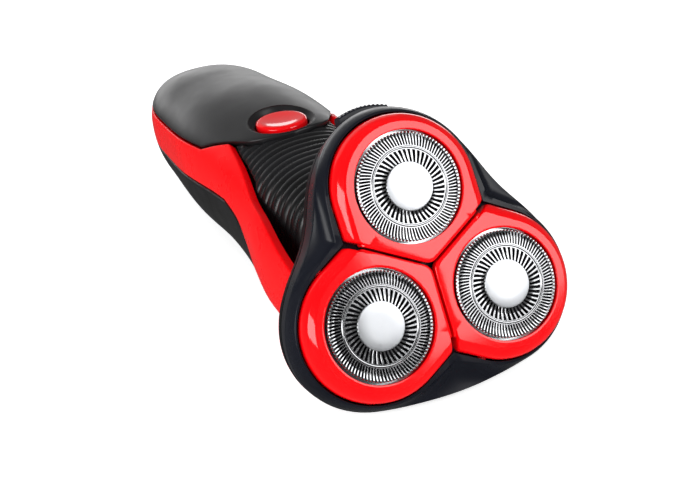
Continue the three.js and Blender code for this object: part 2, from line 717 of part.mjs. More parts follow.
function powerButtonGeometry() {
  const ring = (scale, height) => ellipse(buttonHalfWidth * scale, buttonHalfLength * scale, 20, 0)
    .map(([x, y]) => new THREE.Vector3(x, y, height));
  const cap = loftRings([
    ring(1, frontHeight - 3.6), ring(1, frontHeight - 1.3), ring(0.9, frontHeight - 0.7),
    ring(0.6, frontHeight - 0.35), ring(0.2, frontHeight - 0.25), ring(0.2, frontHeight - 3.6),
  ]);
  const stem = rod(1.6, frontHeight - 5.5, frontHeight - 0.6, 14);
  return join(cap, stem).translate(0, buttonStation, 0);
}

function chassisGeometry() {
  // an open trough that carries the cell, with the circuit board on its two edges
  const points = [[-11, -13.2], [11, -13.2], [11, 5.6], [9.4, 5.6], [9.4, -11.6], [-9.4, -11.6], [-9.4, 5.6], [-11, 5.6]];
  return alongHandle(points, 54, 122);
}

function alongHandle(points, start, end) {
  // an outline in x and height, carried along the handle from one station to another
  return slab(points.map(([x, z]) => [x, -z]), start, end).rotateX(-Math.PI / 2);
}

function motorMountGeometry() {
  const outer = ellipse(12, 12, 24);
  return cut(alongHandle(outer, 46.6, 49), alongHandle(ellipse(5, 5, 20), 46, 50));
}

function motorCanGeometry() {
  return turned([
    [1.4, 18], [1.4, 17], [4, 17], [4, 18.2], [10, 18.2], [10, 46.2], [3, 46.2], [3, 44], [1.4, 44], [1.4, 43],
    [6, 42.5], [6, 20], [1.4, 19.5], [1.4, 18],
  ], 16).rotateX(-Math.PI / 2);
}

function motorShaftGeometry() {
  const radius = 1.5;
  const centre = 1.2;
  const ball = [];
  for (let deg = 90; deg >= -50; deg -= 20) {
    ball.push([radius * Math.cos(rad(deg)), centre - radius * Math.sin(rad(deg))]);
  }
  ball[0][0] = 0;
  return turned([...ball, [0.9, 3], [0.9, 22], [4.6, 22], [4.6, 41], [0.9, 41], [0.9, 43.6], [0, 43.6]], 14)
    .rotateX(-Math.PI / 2);
}

function batteryGeometry() {
  return turned([
    [0, 60], [6.9, 60], [7.1, 60.3], [7.1, 108.4], [6.8, 108.8], [2.6, 108.8], [2.6, 110], [0, 110],
  ], 20).rotateX(-Math.PI / 2).translate(0, 0, -4);
}

function batteryTabGeometry(start) {
  return block(-3.4, 3.4, start, start + 0.5, -8, 3.4);
}

function circuitBoardGeometry() {
  const holes = [60, 118].map((station) => rod(1, 5, 8.4, 12).translate(8, station, 0));
  return cut(block(-10.8, 10.8, 56, 124, 6, 7.6), ...holes);
}

function boardScrewGeometry() {
  return turned([[0, 6.3], [0.7, 6.3], [0.7, 7.9], [1.7, 7.9], [1.7, 8.7], [0, 9]], 12);
}

function tactSwitchGeometry() {
  return join(block(-3, 3, -3, 3, 7.9, 9.6), rod(1.3, 9.4, 10.1, 14)).translate(0, buttonStation, 0);
}

function chargingInletGeometry() {
  const outline = (inset) => {
    const points = [];
    for (let i = 0; i < 32; i += 1) {
      const p = handlePoint(handleEnd, i / 32 * 360, inset);
      points.push([p.x, p.z]);
    }
    return points;
  };
  const body = alongHandle(outline(wall + 0.35), 139, handleEnd + 0.6);
  const recess = alongHandle(ellipse(5.2, 3.2, 28, 0.1), 142.4, 160);
  const bores = [-2.4, 2.4].map((x) => alongHandle(ellipse(1.1, 1.1, 14, 0.1).map(([px, py]) => [px + x, py]), 130, 145));
  return cut(body, recess, ...bores);
}

function inletPinGeometry() {
  return turned([[0, 135], [0.75, 135], [0.75, 145.8], [0.45, 146.2], [0, 146.2]], 12)
    .rotateX(-Math.PI / 2).translate(0, 0, 0.1);
}

// ---------------------------------------------------------------- assembly
function meshTurn(deg) {
  // turns a spindle gear so that its tooth meets the pinion's gap on their common line
  const pinionPitch = 360 / pinionTeeth;
  const share = ((deg - pinionPitch / 2) / pinionPitch % 1 + 1) % 1;
  return share * 360 / gearTeeth;
}

const shaver = new THREE.Group();

const head = new THREE.Group();
head.position.set(0, headCentreY, headCentreZ);
head.rotation.x = rad(90 - headTiltDeg);
shaver.add(head);

head.add(named('head_frame', headFrameGeometry(), blackSatin));
for (const [lobe, deg] of Object.entries(lobeAngles)) {
  const [x, y] = [lobeRadius * Math.cos(rad(deg)), lobeRadius * Math.sin(rad(deg))];
  const petal = named(`petal_${lobe}`, petalGeometry(), redGloss);
  petal.rotation.z = rad(deg - 90);
  const foil = named(`foil_${lobe}`, foilGeometry(), chrome);
  foil.position.set(x, y, 0);
  const blade = named(`blade_${lobe}`, bladeGeometry(), steel);
  blade.position.set(x, y, 0);
  const spindle = named(`spindle_${lobe}`, spindleGeometry(), whiteNylon);
  spindle.position.set(x, y, 0);
  spindle.rotation.z = rad(deg + meshTurn(deg));
  head.add(petal, foil, blade, spindle);
}
head.add(named('cutter_retainer', retainerGeometry(), greyNylon));
head.add(named('retainer_knob', retainerKnobGeometry(), blackSatin));
head.add(named('head_base', headBaseGeometry(), blackSatin));
head.add(named('gear_cover', gearCoverGeometry(), greyNylon));
head.add(named('pinion', pinionGeometry(), whiteNylon));
head.add(named('release_button', releaseButtonGeometry(), blackSatin));
head.add(named('hinge_pin', hingePinGeometry(), steel));
screwSpots.forEach(([x, y], i) => {
  const screw = named(`cover_screw_${i + 1}`, coverScrewGeometry(), steel);
  screw.position.set(x, y, 0);
  head.add(screw);
});

const handle = new THREE.Group();
const neckY = headCentreY + neckRootDepth * Math.cos(rad(headTiltDeg));
const neckZ = headCentreZ - neckRootDepth * Math.sin(rad(headTiltDeg));
handle.position.set(0, neckY, neckZ);
shaver.add(handle);

handle.add(named('neck_collar', neckCollarGeometry(), blackGloss));
handle.add(named('ribbed_grip', gripGeometry(), blackRubber));
handle.add(named('side_trim', sideTrimGeometry(), redGloss));
handle.add(named('front_panel', frontPanelGeometry(), blackGloss));
handle.add(named('back_shell', backShellGeometry(), blackRubber));
handle.add(named('button_bezel', buttonBezelGeometry(), blackGloss));
handle.add(named('power_button', powerButtonGeometry(), redGloss));
handle.add(named('motor_can', motorCanGeometry(), steel));
handle.add(named('motor_shaft', motorShaftGeometry(), steel));
handle.add(named('motor_mount', motorMountGeometry(), greyNylon));
handle.add(named('chassis', chassisGeometry(), greyNylon));
handle.add(named('battery', batteryGeometry(), cellBlue));
handle.add(named('battery_tab_front', batteryTabGeometry(59.2), brass));
handle.add(named('battery_tab_rear', batteryTabGeometry(110.3), brass));
handle.add(named('circuit_board', circuitBoardGeometry(), boardGreen));
handle.add(named('tact_switch', tactSwitchGeometry(), blackSatin));
handle.add(named('charging_inlet', chargingInletGeometry(), blackSatin));
for (const [side, x] of [['left', -2.4], ['right', 2.4]]) {
  const pin = named(`inlet_pin_${side}`, inletPinGeometry(), brass);
  pin.position.x = x;
  handle.add(pin);
}
for (const [i, station] of [60, 118].entries()) {
  const screw = named(`board_screw_${i + 1}`, boardScrewGeometry(), steel);
  screw.position.set(8, station, 0);
  handle.add(screw);
}

export default shaver;
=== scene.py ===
import json
import math

import bmesh
import bpy
from mathutils import Matrix, Vector


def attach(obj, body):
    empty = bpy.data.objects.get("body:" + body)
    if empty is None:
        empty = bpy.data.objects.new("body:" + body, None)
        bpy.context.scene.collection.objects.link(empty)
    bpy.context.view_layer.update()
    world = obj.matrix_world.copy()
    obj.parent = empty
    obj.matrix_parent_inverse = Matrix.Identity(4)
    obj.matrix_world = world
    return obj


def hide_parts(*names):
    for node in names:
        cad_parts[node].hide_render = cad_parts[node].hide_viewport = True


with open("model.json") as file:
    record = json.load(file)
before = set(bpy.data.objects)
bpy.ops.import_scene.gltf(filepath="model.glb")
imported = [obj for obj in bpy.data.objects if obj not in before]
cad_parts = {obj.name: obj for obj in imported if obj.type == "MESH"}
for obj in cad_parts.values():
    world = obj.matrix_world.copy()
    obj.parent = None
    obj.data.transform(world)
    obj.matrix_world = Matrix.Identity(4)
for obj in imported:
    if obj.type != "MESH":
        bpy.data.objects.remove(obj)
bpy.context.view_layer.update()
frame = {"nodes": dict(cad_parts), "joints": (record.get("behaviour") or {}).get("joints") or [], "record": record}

# ---------------------------------------------------------------- driving dimensions
# Millimetres and degrees, the same as the CAD, turned into metres by the two frames below.
MM = 0.001
LOBES = {"top": 90, "right": -30, "left": 210}
LOBE_RADIUS = 16.1
NECK_ROOT_DEPTH = 18

PETAL_HALF_WIDTH = 15.15
PLATEAU_HALF_WIDTH = 13.0
PETAL_THICKNESS = 2.0
PETAL_SKIRT_BOTTOM = -6.2
CUTTER_HOLE_RADIUS = 11.3
PLATEAU_MITRE_INSET = 0.85
MITRE_GAP = 0.25
PETAL_FRAME_GAP = 0.35
TRUNNION_DEPTH = -5.0
TRUNNION_RADIUS = 0.9

FOIL_RADIUS = 10.8
FOIL_PROUD = 0.45
FOIL_DISC_RADIUS = 4.85
INNER_SLOTS = 44
OUTER_SLOTS = 92

SEAM_DEPTH = -11.55
SEAM_GAP = 0.15
BASE_BOTTOM_DEPTH = -21.0
BASE_BOTTOM_RADIUS = 13.0
WALL = 1.8
HINGE_Y = -23.9
HINGE_BARREL_RADIUS = 1.15

HANDLE_START = 12.0
SCOOP_START = 5.5
HANDLE_END = 150.0
TAIL_START = 118.0
TAIL_TIP = 156.0
UPPER_POWER = 2.4
SHELL_GAP = 0.25
HANDLE_PROFILE = [
    (5.5, 21.2, 12.4, 20.5, -6.4, 3.8),
    (30, 21.6, 13.6, 20.5, -4.7, 3.6),
    (46, 20.0, 15.0, 20.5, -1.7, 2.8),
    (64, 20.1, 16.8, 20.0, 0.2, 2.4),
    (90, 20.9, 17.6, 20.1, 0, 2.4),
    (118, 19.6, 15.9, 18.3, -0.3, 2.4),
    (150, 19.0, 15.0, 15.5, 0, 2.4),
]
GRIP_PROFILE = [
    (12, 13.0, 12.6, 13.0, 0, 2.2),
    (30, 15.0, 13.2, 14.0, 0, 2.2),
    (46, 16.8, 14.4, 14.6, 0, 2.3),
    (66, 18.2, 16.2, 15.0, 0, 2.3),
]
PANEL_CORNER_ANGLE = 62.0
PANEL_TIP_ANGLE = 45.5
PANEL_FRONT_EDGE = [(0, 54.2), (20, 55.5), (36, 58.8), (45.5, 65.2)]
PANEL_CORNER_STATION = 77.5
PANEL_TIP_STATION = 65.2
PANEL_SIDE_EDGE = [(77.5, 62), (96, 67.5), (118, 71), (150, 71)]
SCOOP_EDGE = [(5.5, 88), (12, 86), (20, 81), (31, 72.5), (41, 67), (54, 53.5), (65.2, 45.5)]
BACK_SIDE_EDGE = [(58, 83.8), (67, 86), (80, 89.5), (96, 94), (118, 99), (150, 101)]
BACK_FRONT_EDGE = [(83.8, 58), (89, 50), (98, 46), (108, 42.8), (120, 42), (180, 42)]
GRIP_SIDE_EDGE = [(45.5, 65.2), (50, 57.5), (53.5, 52.5), (60, 46.5), (75, 43), (180, 43)]

BUTTON_STATION = 64.2
BUTTON_HALF_WIDTH = 6.4
BUTTON_HALF_LENGTH = 6.9
RECESS_HALF_WIDTH = 8.4
RECESS_HALF_LENGTH = 9.1
RIB_PITCH = 2.5
RIB_DEPTH = 0.5

# ---------------------------------------------------------------- the two frames of the shaver
JOINTS = {joint["name"]: joint for joint in frame["joints"]}
SPINS = [JOINTS[f"blade_spin_{lobe}"] for lobe in LOBES]
HEAD_OUT = Vector(SPINS[0]["axis"]).normalized()
HEAD_SIDE = Vector((1, 0, 0))
HEAD_UP = HEAD_OUT.cross(HEAD_SIDE)
HEAD_CENTRE = sum((Vector(joint["pos_m"]) for joint in SPINS), Vector()) / len(SPINS)
NECK_ROOT = HEAD_CENTRE - HEAD_OUT * NECK_ROOT_DEPTH * MM


def in_head(x, y, height):
    return HEAD_CENTRE + (HEAD_SIDE * x + HEAD_UP * y + HEAD_OUT * height) * MM


def in_handle(x, station, z):
    return NECK_ROOT + Vector((x, station, z)) * MM


def on_lobe(degrees):
    # a frame with its +Y out along the lobe
    turn = math.radians(degrees - 90)

    def place(x, y, height):
        return in_head(
            x * math.cos(turn) - y * math.sin(turn),
            x * math.sin(turn) + y * math.cos(turn),
            height,
        )
    return place


# ---------------------------------------------------------------- small helpers
def mix(a, b, share):
    return a + (b - a) * share


def smooth(share):
    share = min(max(share, 0.0), 1.0)
    return share * share * (3 - 2 * share)


def curve_through(points, x):
    # a smooth curve through (x, y) points, flat past both ends
    i = 0
    while i < len(points) - 2 and x > points[i + 1][0]:
        i += 1
    (x0, y0), (x1, y1) = points[i], points[i + 1]
    before = points[max(i - 1, 0)]
    after = points[min(i + 2, len(points) - 1)]
    slope0 = (y1 - before[1]) / (x1 - before[0])
    slope1 = (after[1] - y0) / (after[0] - x0)
    t = min(max((x - x0) / (x1 - x0), 0), 1)
    span = x1 - x0
    h00 = (1 + 2 * t) * (1 - t) * (1 - t)
    h10 = t * (1 - t) * (1 - t)
    h01 = t * t * (3 - 2 * t)
    h11 = t * t * (t - 1)
    return h00 * y0 + h10 * span * slope0 + h01 * y1 + h11 * span * slope1


def bend(start, control, end, share):
    # a quadratic curve between two points
    a, b, c = (1 - share) ** 2, 2 * share * (1 - share), share ** 2
    return tuple(a * p + b * q + c * r for p, q, r in zip(start, control, end))


class Shape:
    """Points and faces gathered in one of the shaver's frames."""

    def __init__(self, place):
        self.place = place
        self.points = []
        self.faces = []

    def rings(self, rings, closed=False, around=True):
        start = len(self.points)
        count = len(rings[0])
        for ring in rings:
            self.points += [self.place(*point) for point in ring]
        last = len(rings) if closed else len(rings) - 1
        for k in range(last):
            a0 = start + k * count
            b0 = start + (k + 1) % len(rings) * count
            for i in range(count if around else count - 1):
                j = (i + 1) % count
                self.faces.append((a0 + i, a0 + j, b0 + j, b0 + i))
        return start

    def cap(self, ring):
        start = len(self.points)
        self.points += [self.place(*point) for point in ring]
        self.faces.append(tuple(range(start, start + len(ring))))

    def rod(self, start, end, radius, sides=24, chamfer=0.12):
        # a round bar with chamfered ends between two points
        axis = Vector(end) - Vector(start)
        length = axis.length
        axis.normalize()
        across = axis.orthogonal().normalized()
        other = axis.cross(across)
        rings = []
        for along, reach in ((0, radius - chamfer), (chamfer, radius), (length - chamfer, radius),
                             (length, radius - chamfer)):
            ring = []
            for i in range(sides):
                turn = 2 * math.pi * i / sides
                offset = across * math.cos(turn) + other * math.sin(turn)
                ring.append(tuple(Vector(start) + axis * along + offset * reach))
            rings.append(ring)
        self.rings(rings)
        self.cap(rings[0])
        self.cap(rings[-1])

    def bar(self, low, high, chamfer=0.25):
        # a rectangular bar with all its long edges chamfered
        (x0, y0, z0), (x1, y1, z1) = low, high
        rings = []
        for z, inset in ((z0, chamfer), (z0 + chamfer, 0), (z1 - chamfer, 0), (z1, chamfer)):
            c = chamfer + inset
            near, far = (x0 + inset, y0 + inset), (x1 - inset, y1 - inset)
            rings.append([
                (x0 + c, near[1], z), (x1 - c, near[1], z), (far[0], y0 + c, z), (far[0], y1 - c, z),
                (x1 - c, far[1], z), (x0 + c, far[1], z), (near[0], y1 - c, z), (near[0], y0 + c, z),
            ])
        self.rings(rings)
        self.cap(rings[0])
        self.cap(rings[-1])

    def build(self, name, sharp_degrees=38):
        mesh = bpy.data.meshes.new(name)
        mesh.from_pydata([tuple(p) for p in self.points], [], self.faces)
        work = bmesh.new()
        work.from_mesh(mesh)
        bmesh.ops.remove_doubles(work, verts=work.verts, dist=2e-7)
        bmesh.ops.dissolve_degenerate(work, edges=work.edges, dist=1e-7)
        bmesh.ops.recalc_face_normals(work, faces=work.faces)
        work.to_mesh(mesh)
        work.free()
        piece = bpy.data.objects.new(name, mesh)
        bpy.context.scene.collection.objects.link(piece)
        shade(piece, sharp_degrees)
        return piece


def shade(piece, sharp_degrees=38):
    mesh = piece.data
    mesh.shade_smooth()
    mesh.set_sharp_from_angle(angle=math.radians(sharp_degrees))


def finish_piece(piece, body, nodes, material):
    piece.data.materials.clear()
    piece.data.materials.append(material)
    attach(piece, body)
    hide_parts(*nodes)
    return piece


def carve(piece, shape):
    # cuts a closed shape out of a piece and leaves no modifier behind
    tool = shape.build("carving_tool")
    cutter = piece.modifiers.new("carve", "BOOLEAN")
    cutter.operation = "DIFFERENCE"
    cutter.solver = "EXACT"
    cutter.object = tool
    apply_modifiers(piece)
    bpy.data.objects.remove(tool)
    shade(piece)


def apply_modifiers(piece):
    depsgraph = bpy.context.evaluated_depsgraph_get()
    result = bpy.data.meshes.new_from_object(piece.evaluated_get(depsgraph))
    piece.modifiers.clear()
    old = piece.data
    piece.data = result
    result.name = piece.name
    bpy.data.meshes.remove(old)


# ---------------------------------------------------------------- head outlines
def from_lobe(degrees):
    # the angle from the nearest lobe's middle line
    return (degrees - 90 + 60) % 120 - 60


def lobe_wave(degrees):
    return math.cos(math.radians(3 * from_lobe(degrees)))


def valley(degrees):
    # 1 in the dips between the lobes, 0 on the lobes
    return ((1 - lobe_wave(degrees)) / 2) ** 3


def petal_reach(degrees, half_width):
    # how far the three petals' common outline is from the middle
    side = abs(math.sin(math.radians(from_lobe(degrees))))
    along = math.cos(math.radians(from_lobe(degrees)))
    straight = half_width / max(side, 1e-6)
    if straight * along <= LOBE_RADIUS:
        return straight
    return LOBE_RADIUS * along + math.sqrt(half_width ** 2 - (LOBE_RADIUS * side) ** 2)


def back_bulge(degrees, half_span=35):
    # 1 at the hinge side of the head, fading to 0 on both sides of it
    offset = (degrees - 270 + 180) % 360 - 180
    reach = min(abs(offset) / half_span, 1)
    return math.cos(reach * math.pi / 2) ** 2


def head_reach(degrees):
    ripple = 0.15 * math.cos(math.radians(6 * from_lobe(degrees)))
    return 28.85 + 4.75 * lobe_wave(degrees) - ripple + 2.2 * back_bulge(degrees)


def rim_height(degrees):
    return -3.75 - 0.85 * lobe_wave(degrees)


def widest_height(degrees):
    return -7.25 - 1.75 * lobe_wave(degrees)


def outer_reach(degrees, height, inset):
    frame_lean = 0.14 * min(max(-6 - height, 0), 5.7)
    base_lean = 0.456 * max(SEAM_DEPTH - height, 0)
    lean = frame_lean * back_bulge(degrees) + base_lean * back_bulge(degrees, 60)
    return head_reach(degrees) - inset - lean


def polar(degrees, reach, height):
    return (reach * math.cos(math.radians(degrees)), reach * math.sin(math.radians(degrees)), height)


def rings_from_profiles(shape, profile_at, count):
    # one ring for each point of the profile, all the way round
    profiles = [(degrees, profile_at(degrees)) for degrees in (360 * i / count for i in range(count))]
    rings = []
    for k in range(len(profiles[0][1])):
        rings.append([polar(degrees, *profile[k]) for degrees, profile in profiles])
    shape.rings(rings, closed=True)


# ---------------------------------------------------------------- petals
NOTCH_LENGTH = 2.6
NOTCH_DEPTH = 0.4
TIP_ROUND = 1.5
CORNER_ROUND = 0.7
CORNER_RUN = 4.6
MITRE_DROP = 0.4
PETAL_LIP = 0.2
SKIRT_WALL = 1.2
TRUNNION_START = 14.2
TRUNNION_END = 15.95
CREASE_EASE = 0.06
BEVEL_STEPS = (0.03, 0.12, 0.25, 0.38, 0.5, 0.62, 0.74, 0.85, 0.93, 0.98, 1.0)
HOLE_EDGE = ((0, -PETAL_THICKNESS), (0, -0.3), (0.03, -0.12), (0.1, -0.03), (0.22, 0.0), (0.5, 0.0))


def petal_outline(share, skirt=None, inset_more=0.0):
    # one petal's outline; share runs from the plateau's crease (0) to the outer wall (1)
    widening = 1 - (1 - share) ** 1.6
    half_width = mix(PLATEAU_HALF_WIDTH, PETAL_HALF_WIDTH, widening) - inset_more
    inset = mix(PLATEAU_MITRE_INSET, MITRE_GAP, widening) + inset_more
    drop = 0.62 * share + 0.38 * share ** 3
    tan30, cos30, sin30 = math.tan(math.radians(30)), math.cos(math.radians(30)), 0.5
    tip_y = inset / cos30
    corner = (half_width, half_width * tan30 + tip_y)
    reach = corner[0] / cos30

    def height(x, y, on_mitre):
        if skirt is not None:
            return mix(skirt, -PETAL_THICKNESS, on_mitre)
        edge = (rim_height(math.degrees(math.atan2(y, x))) + PETAL_LIP) * drop
        return mix(edge, -MITRE_DROP * drop, on_mitre)

    points = []
    for t in (0.5, 0.75, 1.0):
        x, y = bend((-TIP_ROUND * cos30, tip_y + TIP_ROUND * sin30), (0, tip_y),
                    (TIP_ROUND * cos30, tip_y + TIP_ROUND * sin30), t)
        points.append((x, y, 1.0))
    stops = [mix(TIP_ROUND, reach - CORNER_RUN, k / 5) for k in range(1, 6)]
    stops += [reach - back for back in (3.4, 2.9, NOTCH_LENGTH, 1.8, 1.2, CORNER_ROUND)]
    for s in stops:
        cut_in = NOTCH_DEPTH * share if s > reach - NOTCH_LENGTH - 0.01 else 0.0
        on_mitre = smooth((reach - s - 0.4) / 3.6)
        points.append((s * cos30 - cut_in * sin30, tip_y + s * sin30 + cut_in * cos30, on_mitre))
    cut_in = NOTCH_DEPTH * share
    start = points[-1][:2]
    control = (corner[0], corner[1] + cut_in)
    end = (corner[0], corner[1] + cut_in + CORNER_ROUND)
    for t in (0.33, 0.66, 1.0):
        x, y = bend(start, control, end, t)
        points.append((x, y, 0.0))
    for t in (0.25, 0.5, 0.75):
        points.append((half_width, mix(end[1], LOBE_RADIUS, t), 0.0))
    for step in range(0, 18):
        turn = math.radians(5 * step)
        points.append((half_width * math.cos(turn), LOBE_RADIUS + half_width * math.sin(turn), 0.0))
    right = [(x, y, height(x, y, on_mitre)) for x, y, on_mitre in points]
    top_y = LOBE_RADIUS + half_width
    top = (0.0, top_y, height(0.0, top_y, 0.0))
    left = [(-x, y, h) for x, y, h in right[:0:-1]]
    return right + [top] + left


def petal_hole(outline, radius, height):
    ring = []
    for x, y, _ in outline:
        turn = math.atan2(y - LOBE_RADIUS, x)
        ring.append((radius * math.cos(turn), LOBE_RADIUS + radius * math.sin(turn), height))
    return ring


def make_petal(lobe, material):
    shape = Shape(on_lobe(LOBES[lobe]))
    crease = petal_outline(0.0, inset_more=CREASE_EASE)
    rings = [petal_hole(crease, CUTTER_HOLE_RADIUS + out, height) for out, height in HOLE_EDGE]
    rings.append([(x, y, 0.0) for x, y, _ in crease])
    rings += [petal_outline(share) for share in BEVEL_STEPS]
    rings.append(petal_outline(1.0, skirt=PETAL_SKIRT_BOTTOM))
    rings.append(petal_outline(1.0, skirt=PETAL_SKIRT_BOTTOM, inset_more=SKIRT_WALL))
    inner_wall = petal_outline(1.0, inset_more=SKIRT_WALL + 0.1)
    rings.append([(x, y, -PETAL_THICKNESS) for x, y, _ in inner_wall])
    shape.rings(rings, closed=True)
    for side in (-1, 1):
        start = (side * TRUNNION_START, LOBE_RADIUS, TRUNNION_DEPTH)
        end = (side * TRUNNION_END, LOBE_RADIUS, TRUNNION_DEPTH)
        shape.rod(start, end, TRUNNION_RADIUS)
    piece = shape.build(f"petal_cover_{lobe}", 16)
    finish_piece(piece, f"petal_{lobe}", [f"petal_{lobe}"], material)


# ---------------------------------------------------------------- foils
TRACK_DEPTH = 0.13
INNER_TRACK_END = 7.4
OUTER_TRACK_START = 8.1
RING_START = 7.45
RING_END = 8.0
RIM_ROUND = 0.45
INNER_BAR_SHARE = 0.48
OUTER_BAR_SHARE = 0.42
INNER_SLANT = 5.0
OUTER_SLANT = 3.0
SLOT_END = FOIL_RADIUS - 0.3
RING_PROFILE = [(7.35, -0.63), (7.35, -0.13), (7.5, -0.13), (7.58, -0.02), (7.66, 0.02), (7.84, 0.02),
                (7.92, -0.02), (8.0, -0.13), (8.15, -0.13), (8.15, -0.63)]
FLANGE_RADIUS = 12.0
FLANGE_TOP = -PETAL_THICKNESS - 0.3
FLANGE_THICKNESS = 0.8


def foil_height(radius):
    # the cap's top: flat disc, then two shallow tracks with a raised ring between them
    edge_share = max(radius - (FOIL_RADIUS - RIM_ROUND), 0) / RIM_ROUND
    top = FOIL_PROUD - 0.4 * (1 - math.sqrt(max(1 - edge_share ** 2, 0)))
    if FOIL_DISC_RADIUS < radius < RING_START or RING_END < radius < FOIL_RADIUS - 0.4:
        top -= TRACK_DEPTH
    return top


def on_foil(lobe):
    # a frame in the middle of one foil
    place = on_lobe(LOBES[lobe])
    return lambda x, y, height: place(x, y + LOBE_RADIUS, height)


def make_foil_disc(lobe, material):
    # the plain satin disc in the middle of a foil
    shape = Shape(on_foil(lobe))
    edge = FOIL_DISC_RADIUS
    profile = [(0.02, 0.02), (edge * 0.5, 0.015), (edge - 0.25, 0.0), (edge - 0.08, -0.03),
               (edge, -0.12), (edge, -0.5)]
    shape.rings([[polar(3 * i, radius, FOIL_PROUD + rise) for i in range(120)] for radius, rise in profile])
    finish_piece(shape.build(f"foil_disc_{lobe}"), f"foil_{lobe}", [], material)


def foil_band(shape, profile, sides=184):
    rings = []
    for radius, height in profile:
        rings.append([polar(360 * i / sides, radius, height) for i in range(sides)])
    shape.rings(rings)


def foil_bars(shape, count, start, end, slant, bar_share):
    # the metal bars left standing between the slots, each one slightly slanted
    steps = 4
    half = 360 / count * bar_share / 2
    for i in range(count):
        bar = []
        for k in range(steps + 1):
            radius = mix(start, end, k / steps)
            middle = 360 * i / count + slant * k / steps
            top = foil_height(radius)
            section = ((-1, -0.16), (-1, -0.05), (-0.7, 0), (0.7, 0), (1, -0.05), (1, -0.16))
            bar.append([polar(middle + half * across, radius, top + rise) for across, rise in section])
        shape.rings(bar, around=False)


def foil_rim_bars(shape):
    # the outer slots run over the rounded rim and a little down the wall
    half = 360 / OUTER_SLOTS * OUTER_BAR_SHARE / 2
    rim = ((SLOT_END, foil_height(SLOT_END)), (FOIL_RADIUS - 0.12, FOIL_PROUD - 0.17),
           (FOIL_RADIUS, FOIL_PROUD - 0.42), (FOIL_RADIUS, -0.6))
    for i in range(OUTER_SLOTS):
        middle = 360 * i / OUTER_SLOTS + OUTER_SLANT
        bar = []
        for radius, height in rim:
            inner, low = radius - 0.35, height - 0.3
            bar.append([polar(middle - half, inner, low), polar(middle - half, radius, height),
                        polar(middle + half, radius, height), polar(middle + half, inner, low)])
        shape.rings(bar, around=False)


def make_foil(lobe, material):
    shape = Shape(on_foil(lobe))
    foil_bars(shape, INNER_SLOTS, FOIL_DISC_RADIUS, INNER_TRACK_END, INNER_SLANT, INNER_BAR_SHARE)
    foil_band(shape, [(radius, FOIL_PROUD + rise) for radius, rise in RING_PROFILE])
    foil_bars(shape, OUTER_SLOTS, OUTER_TRACK_START, SLOT_END, OUTER_SLANT, OUTER_BAR_SHARE)
    foil_rim_bars(shape)
    wall_in, wall_top, low = FOIL_RADIUS - RIM_ROUND, -0.1, FLANGE_TOP - FLANGE_THICKNESS
    foil_band(shape, [(wall_in, wall_top), (FOIL_RADIUS, wall_top), (FOIL_RADIUS, FLANGE_TOP),
                      (FLANGE_RADIUS, FLANGE_TOP), (FLANGE_RADIUS, low), (FOIL_RADIUS - 0.7, low),
                      (wall_in, low + 0.3), (wall_in, wall_top)])
    piece = shape.build(f"slotted_foil_{lobe}", 32)
    finish_piece(piece, f"foil_{lobe}", [f"foil_{lobe}"], material)


# ---------------------------------------------------------------- head frame
FRAME_SIDES = 240
ARM_HALF_WIDTH = 1.5
ARM_START, ARM_END = 2.6, 18.6
ARM_BOTTOM, ARM_TOP = -5.3, -3.8
BOSS_PROFILE = [(2.3, -5.2), (3.6, -5.2), (3.6, -3.4), (3.4, -3.2), (2.3, -3.2)]
HINGE_RELIEF_HALF = 14.5
SWING_ROOM_HALF = 21.5
RELIEF_BACK = -30
FRAME_KNUCKLE_HALF = 7.4
BASE_KNUCKLE_START, BASE_KNUCKLE_END = 7.8, 13.4


def frame_profile(degrees):
    # the frame's section from the petals' pocket over the rim to the seam with the base
    pocket = petal_reach(degrees, PETAL_HALF_WIDTH + PETAL_FRAME_GAP)
    rim = rim_height(degrees)
    ledge = pocket + 0.45 + 1.1 * valley(degrees)
    widest = head_reach(degrees)
    low = widest_height(degrees)
    bottom = SEAM_DEPTH + SEAM_GAP
    profile = [(pocket, -7.6), (pocket, rim - 0.5), (pocket + 0.02, rim - 0.1), (pocket + 0.1, rim),
               (ledge - 0.08, rim - 0.06), (ledge, rim - 0.12)]
    deep = valley(degrees)
    middle = (mix(ledge, widest, mix(0.6, 0.35, deep)), mix(rim, low, mix(0.45, 0.7, deep)))
    start, end = profile[-1], (widest - 0.12, low + 0.45)
    control = tuple(2 * m - 0.5 * (a + b) for m, a, b in zip(middle, start, end))
    profile += [bend(start, control, end, t) for t in (0.08, 0.2, 0.35, 0.5, 0.65, 0.8, 0.92, 1.0)]
    profile += [(widest - 0.02, low + 0.15)]
    for t in (0.05, 0.3, 0.6, 0.9):
        height = mix(low, bottom, t)
        profile.append((outer_reach(degrees, height, 0.3 * t), height))
    inside = outer_reach(degrees, bottom, 0.3 + WALL)
    return profile + [
        (outer_reach(degrees, bottom, 0.32), bottom + 0.06),
        (outer_reach(degrees, bottom, 0.42), bottom),
        (inside, bottom),
        (inside, -8.4),
    ]


def hinge_knuckle(shape, x0, x1):
    shape.rod((x0, HINGE_Y, SEAM_DEPTH), (x1, HINGE_Y, SEAM_DEPTH), HINGE_BARREL_RADIUS)


def carve_back(piece, half, front, bottom, top):
    # takes a straight-sided room out of the hinge side of the head
    room = Shape(in_head)
    room.bar((-half, RELIEF_BACK, bottom), (half, front, top), 0.1)
    carve(piece, room)


def make_head_frame(material):
    shape = Shape(in_head)
    rings_from_profiles(shape, frame_profile, FRAME_SIDES)
    piece = shape.build("head_frame_shell")
    carve_back(piece, HINGE_RELIEF_HALF, HINGE_Y + 1.5, SEAM_DEPTH - 1, SEAM_DEPTH + 1.9)
    finish_piece(piece, "head", ["head_frame"], material)
    make_frame_inside(material)


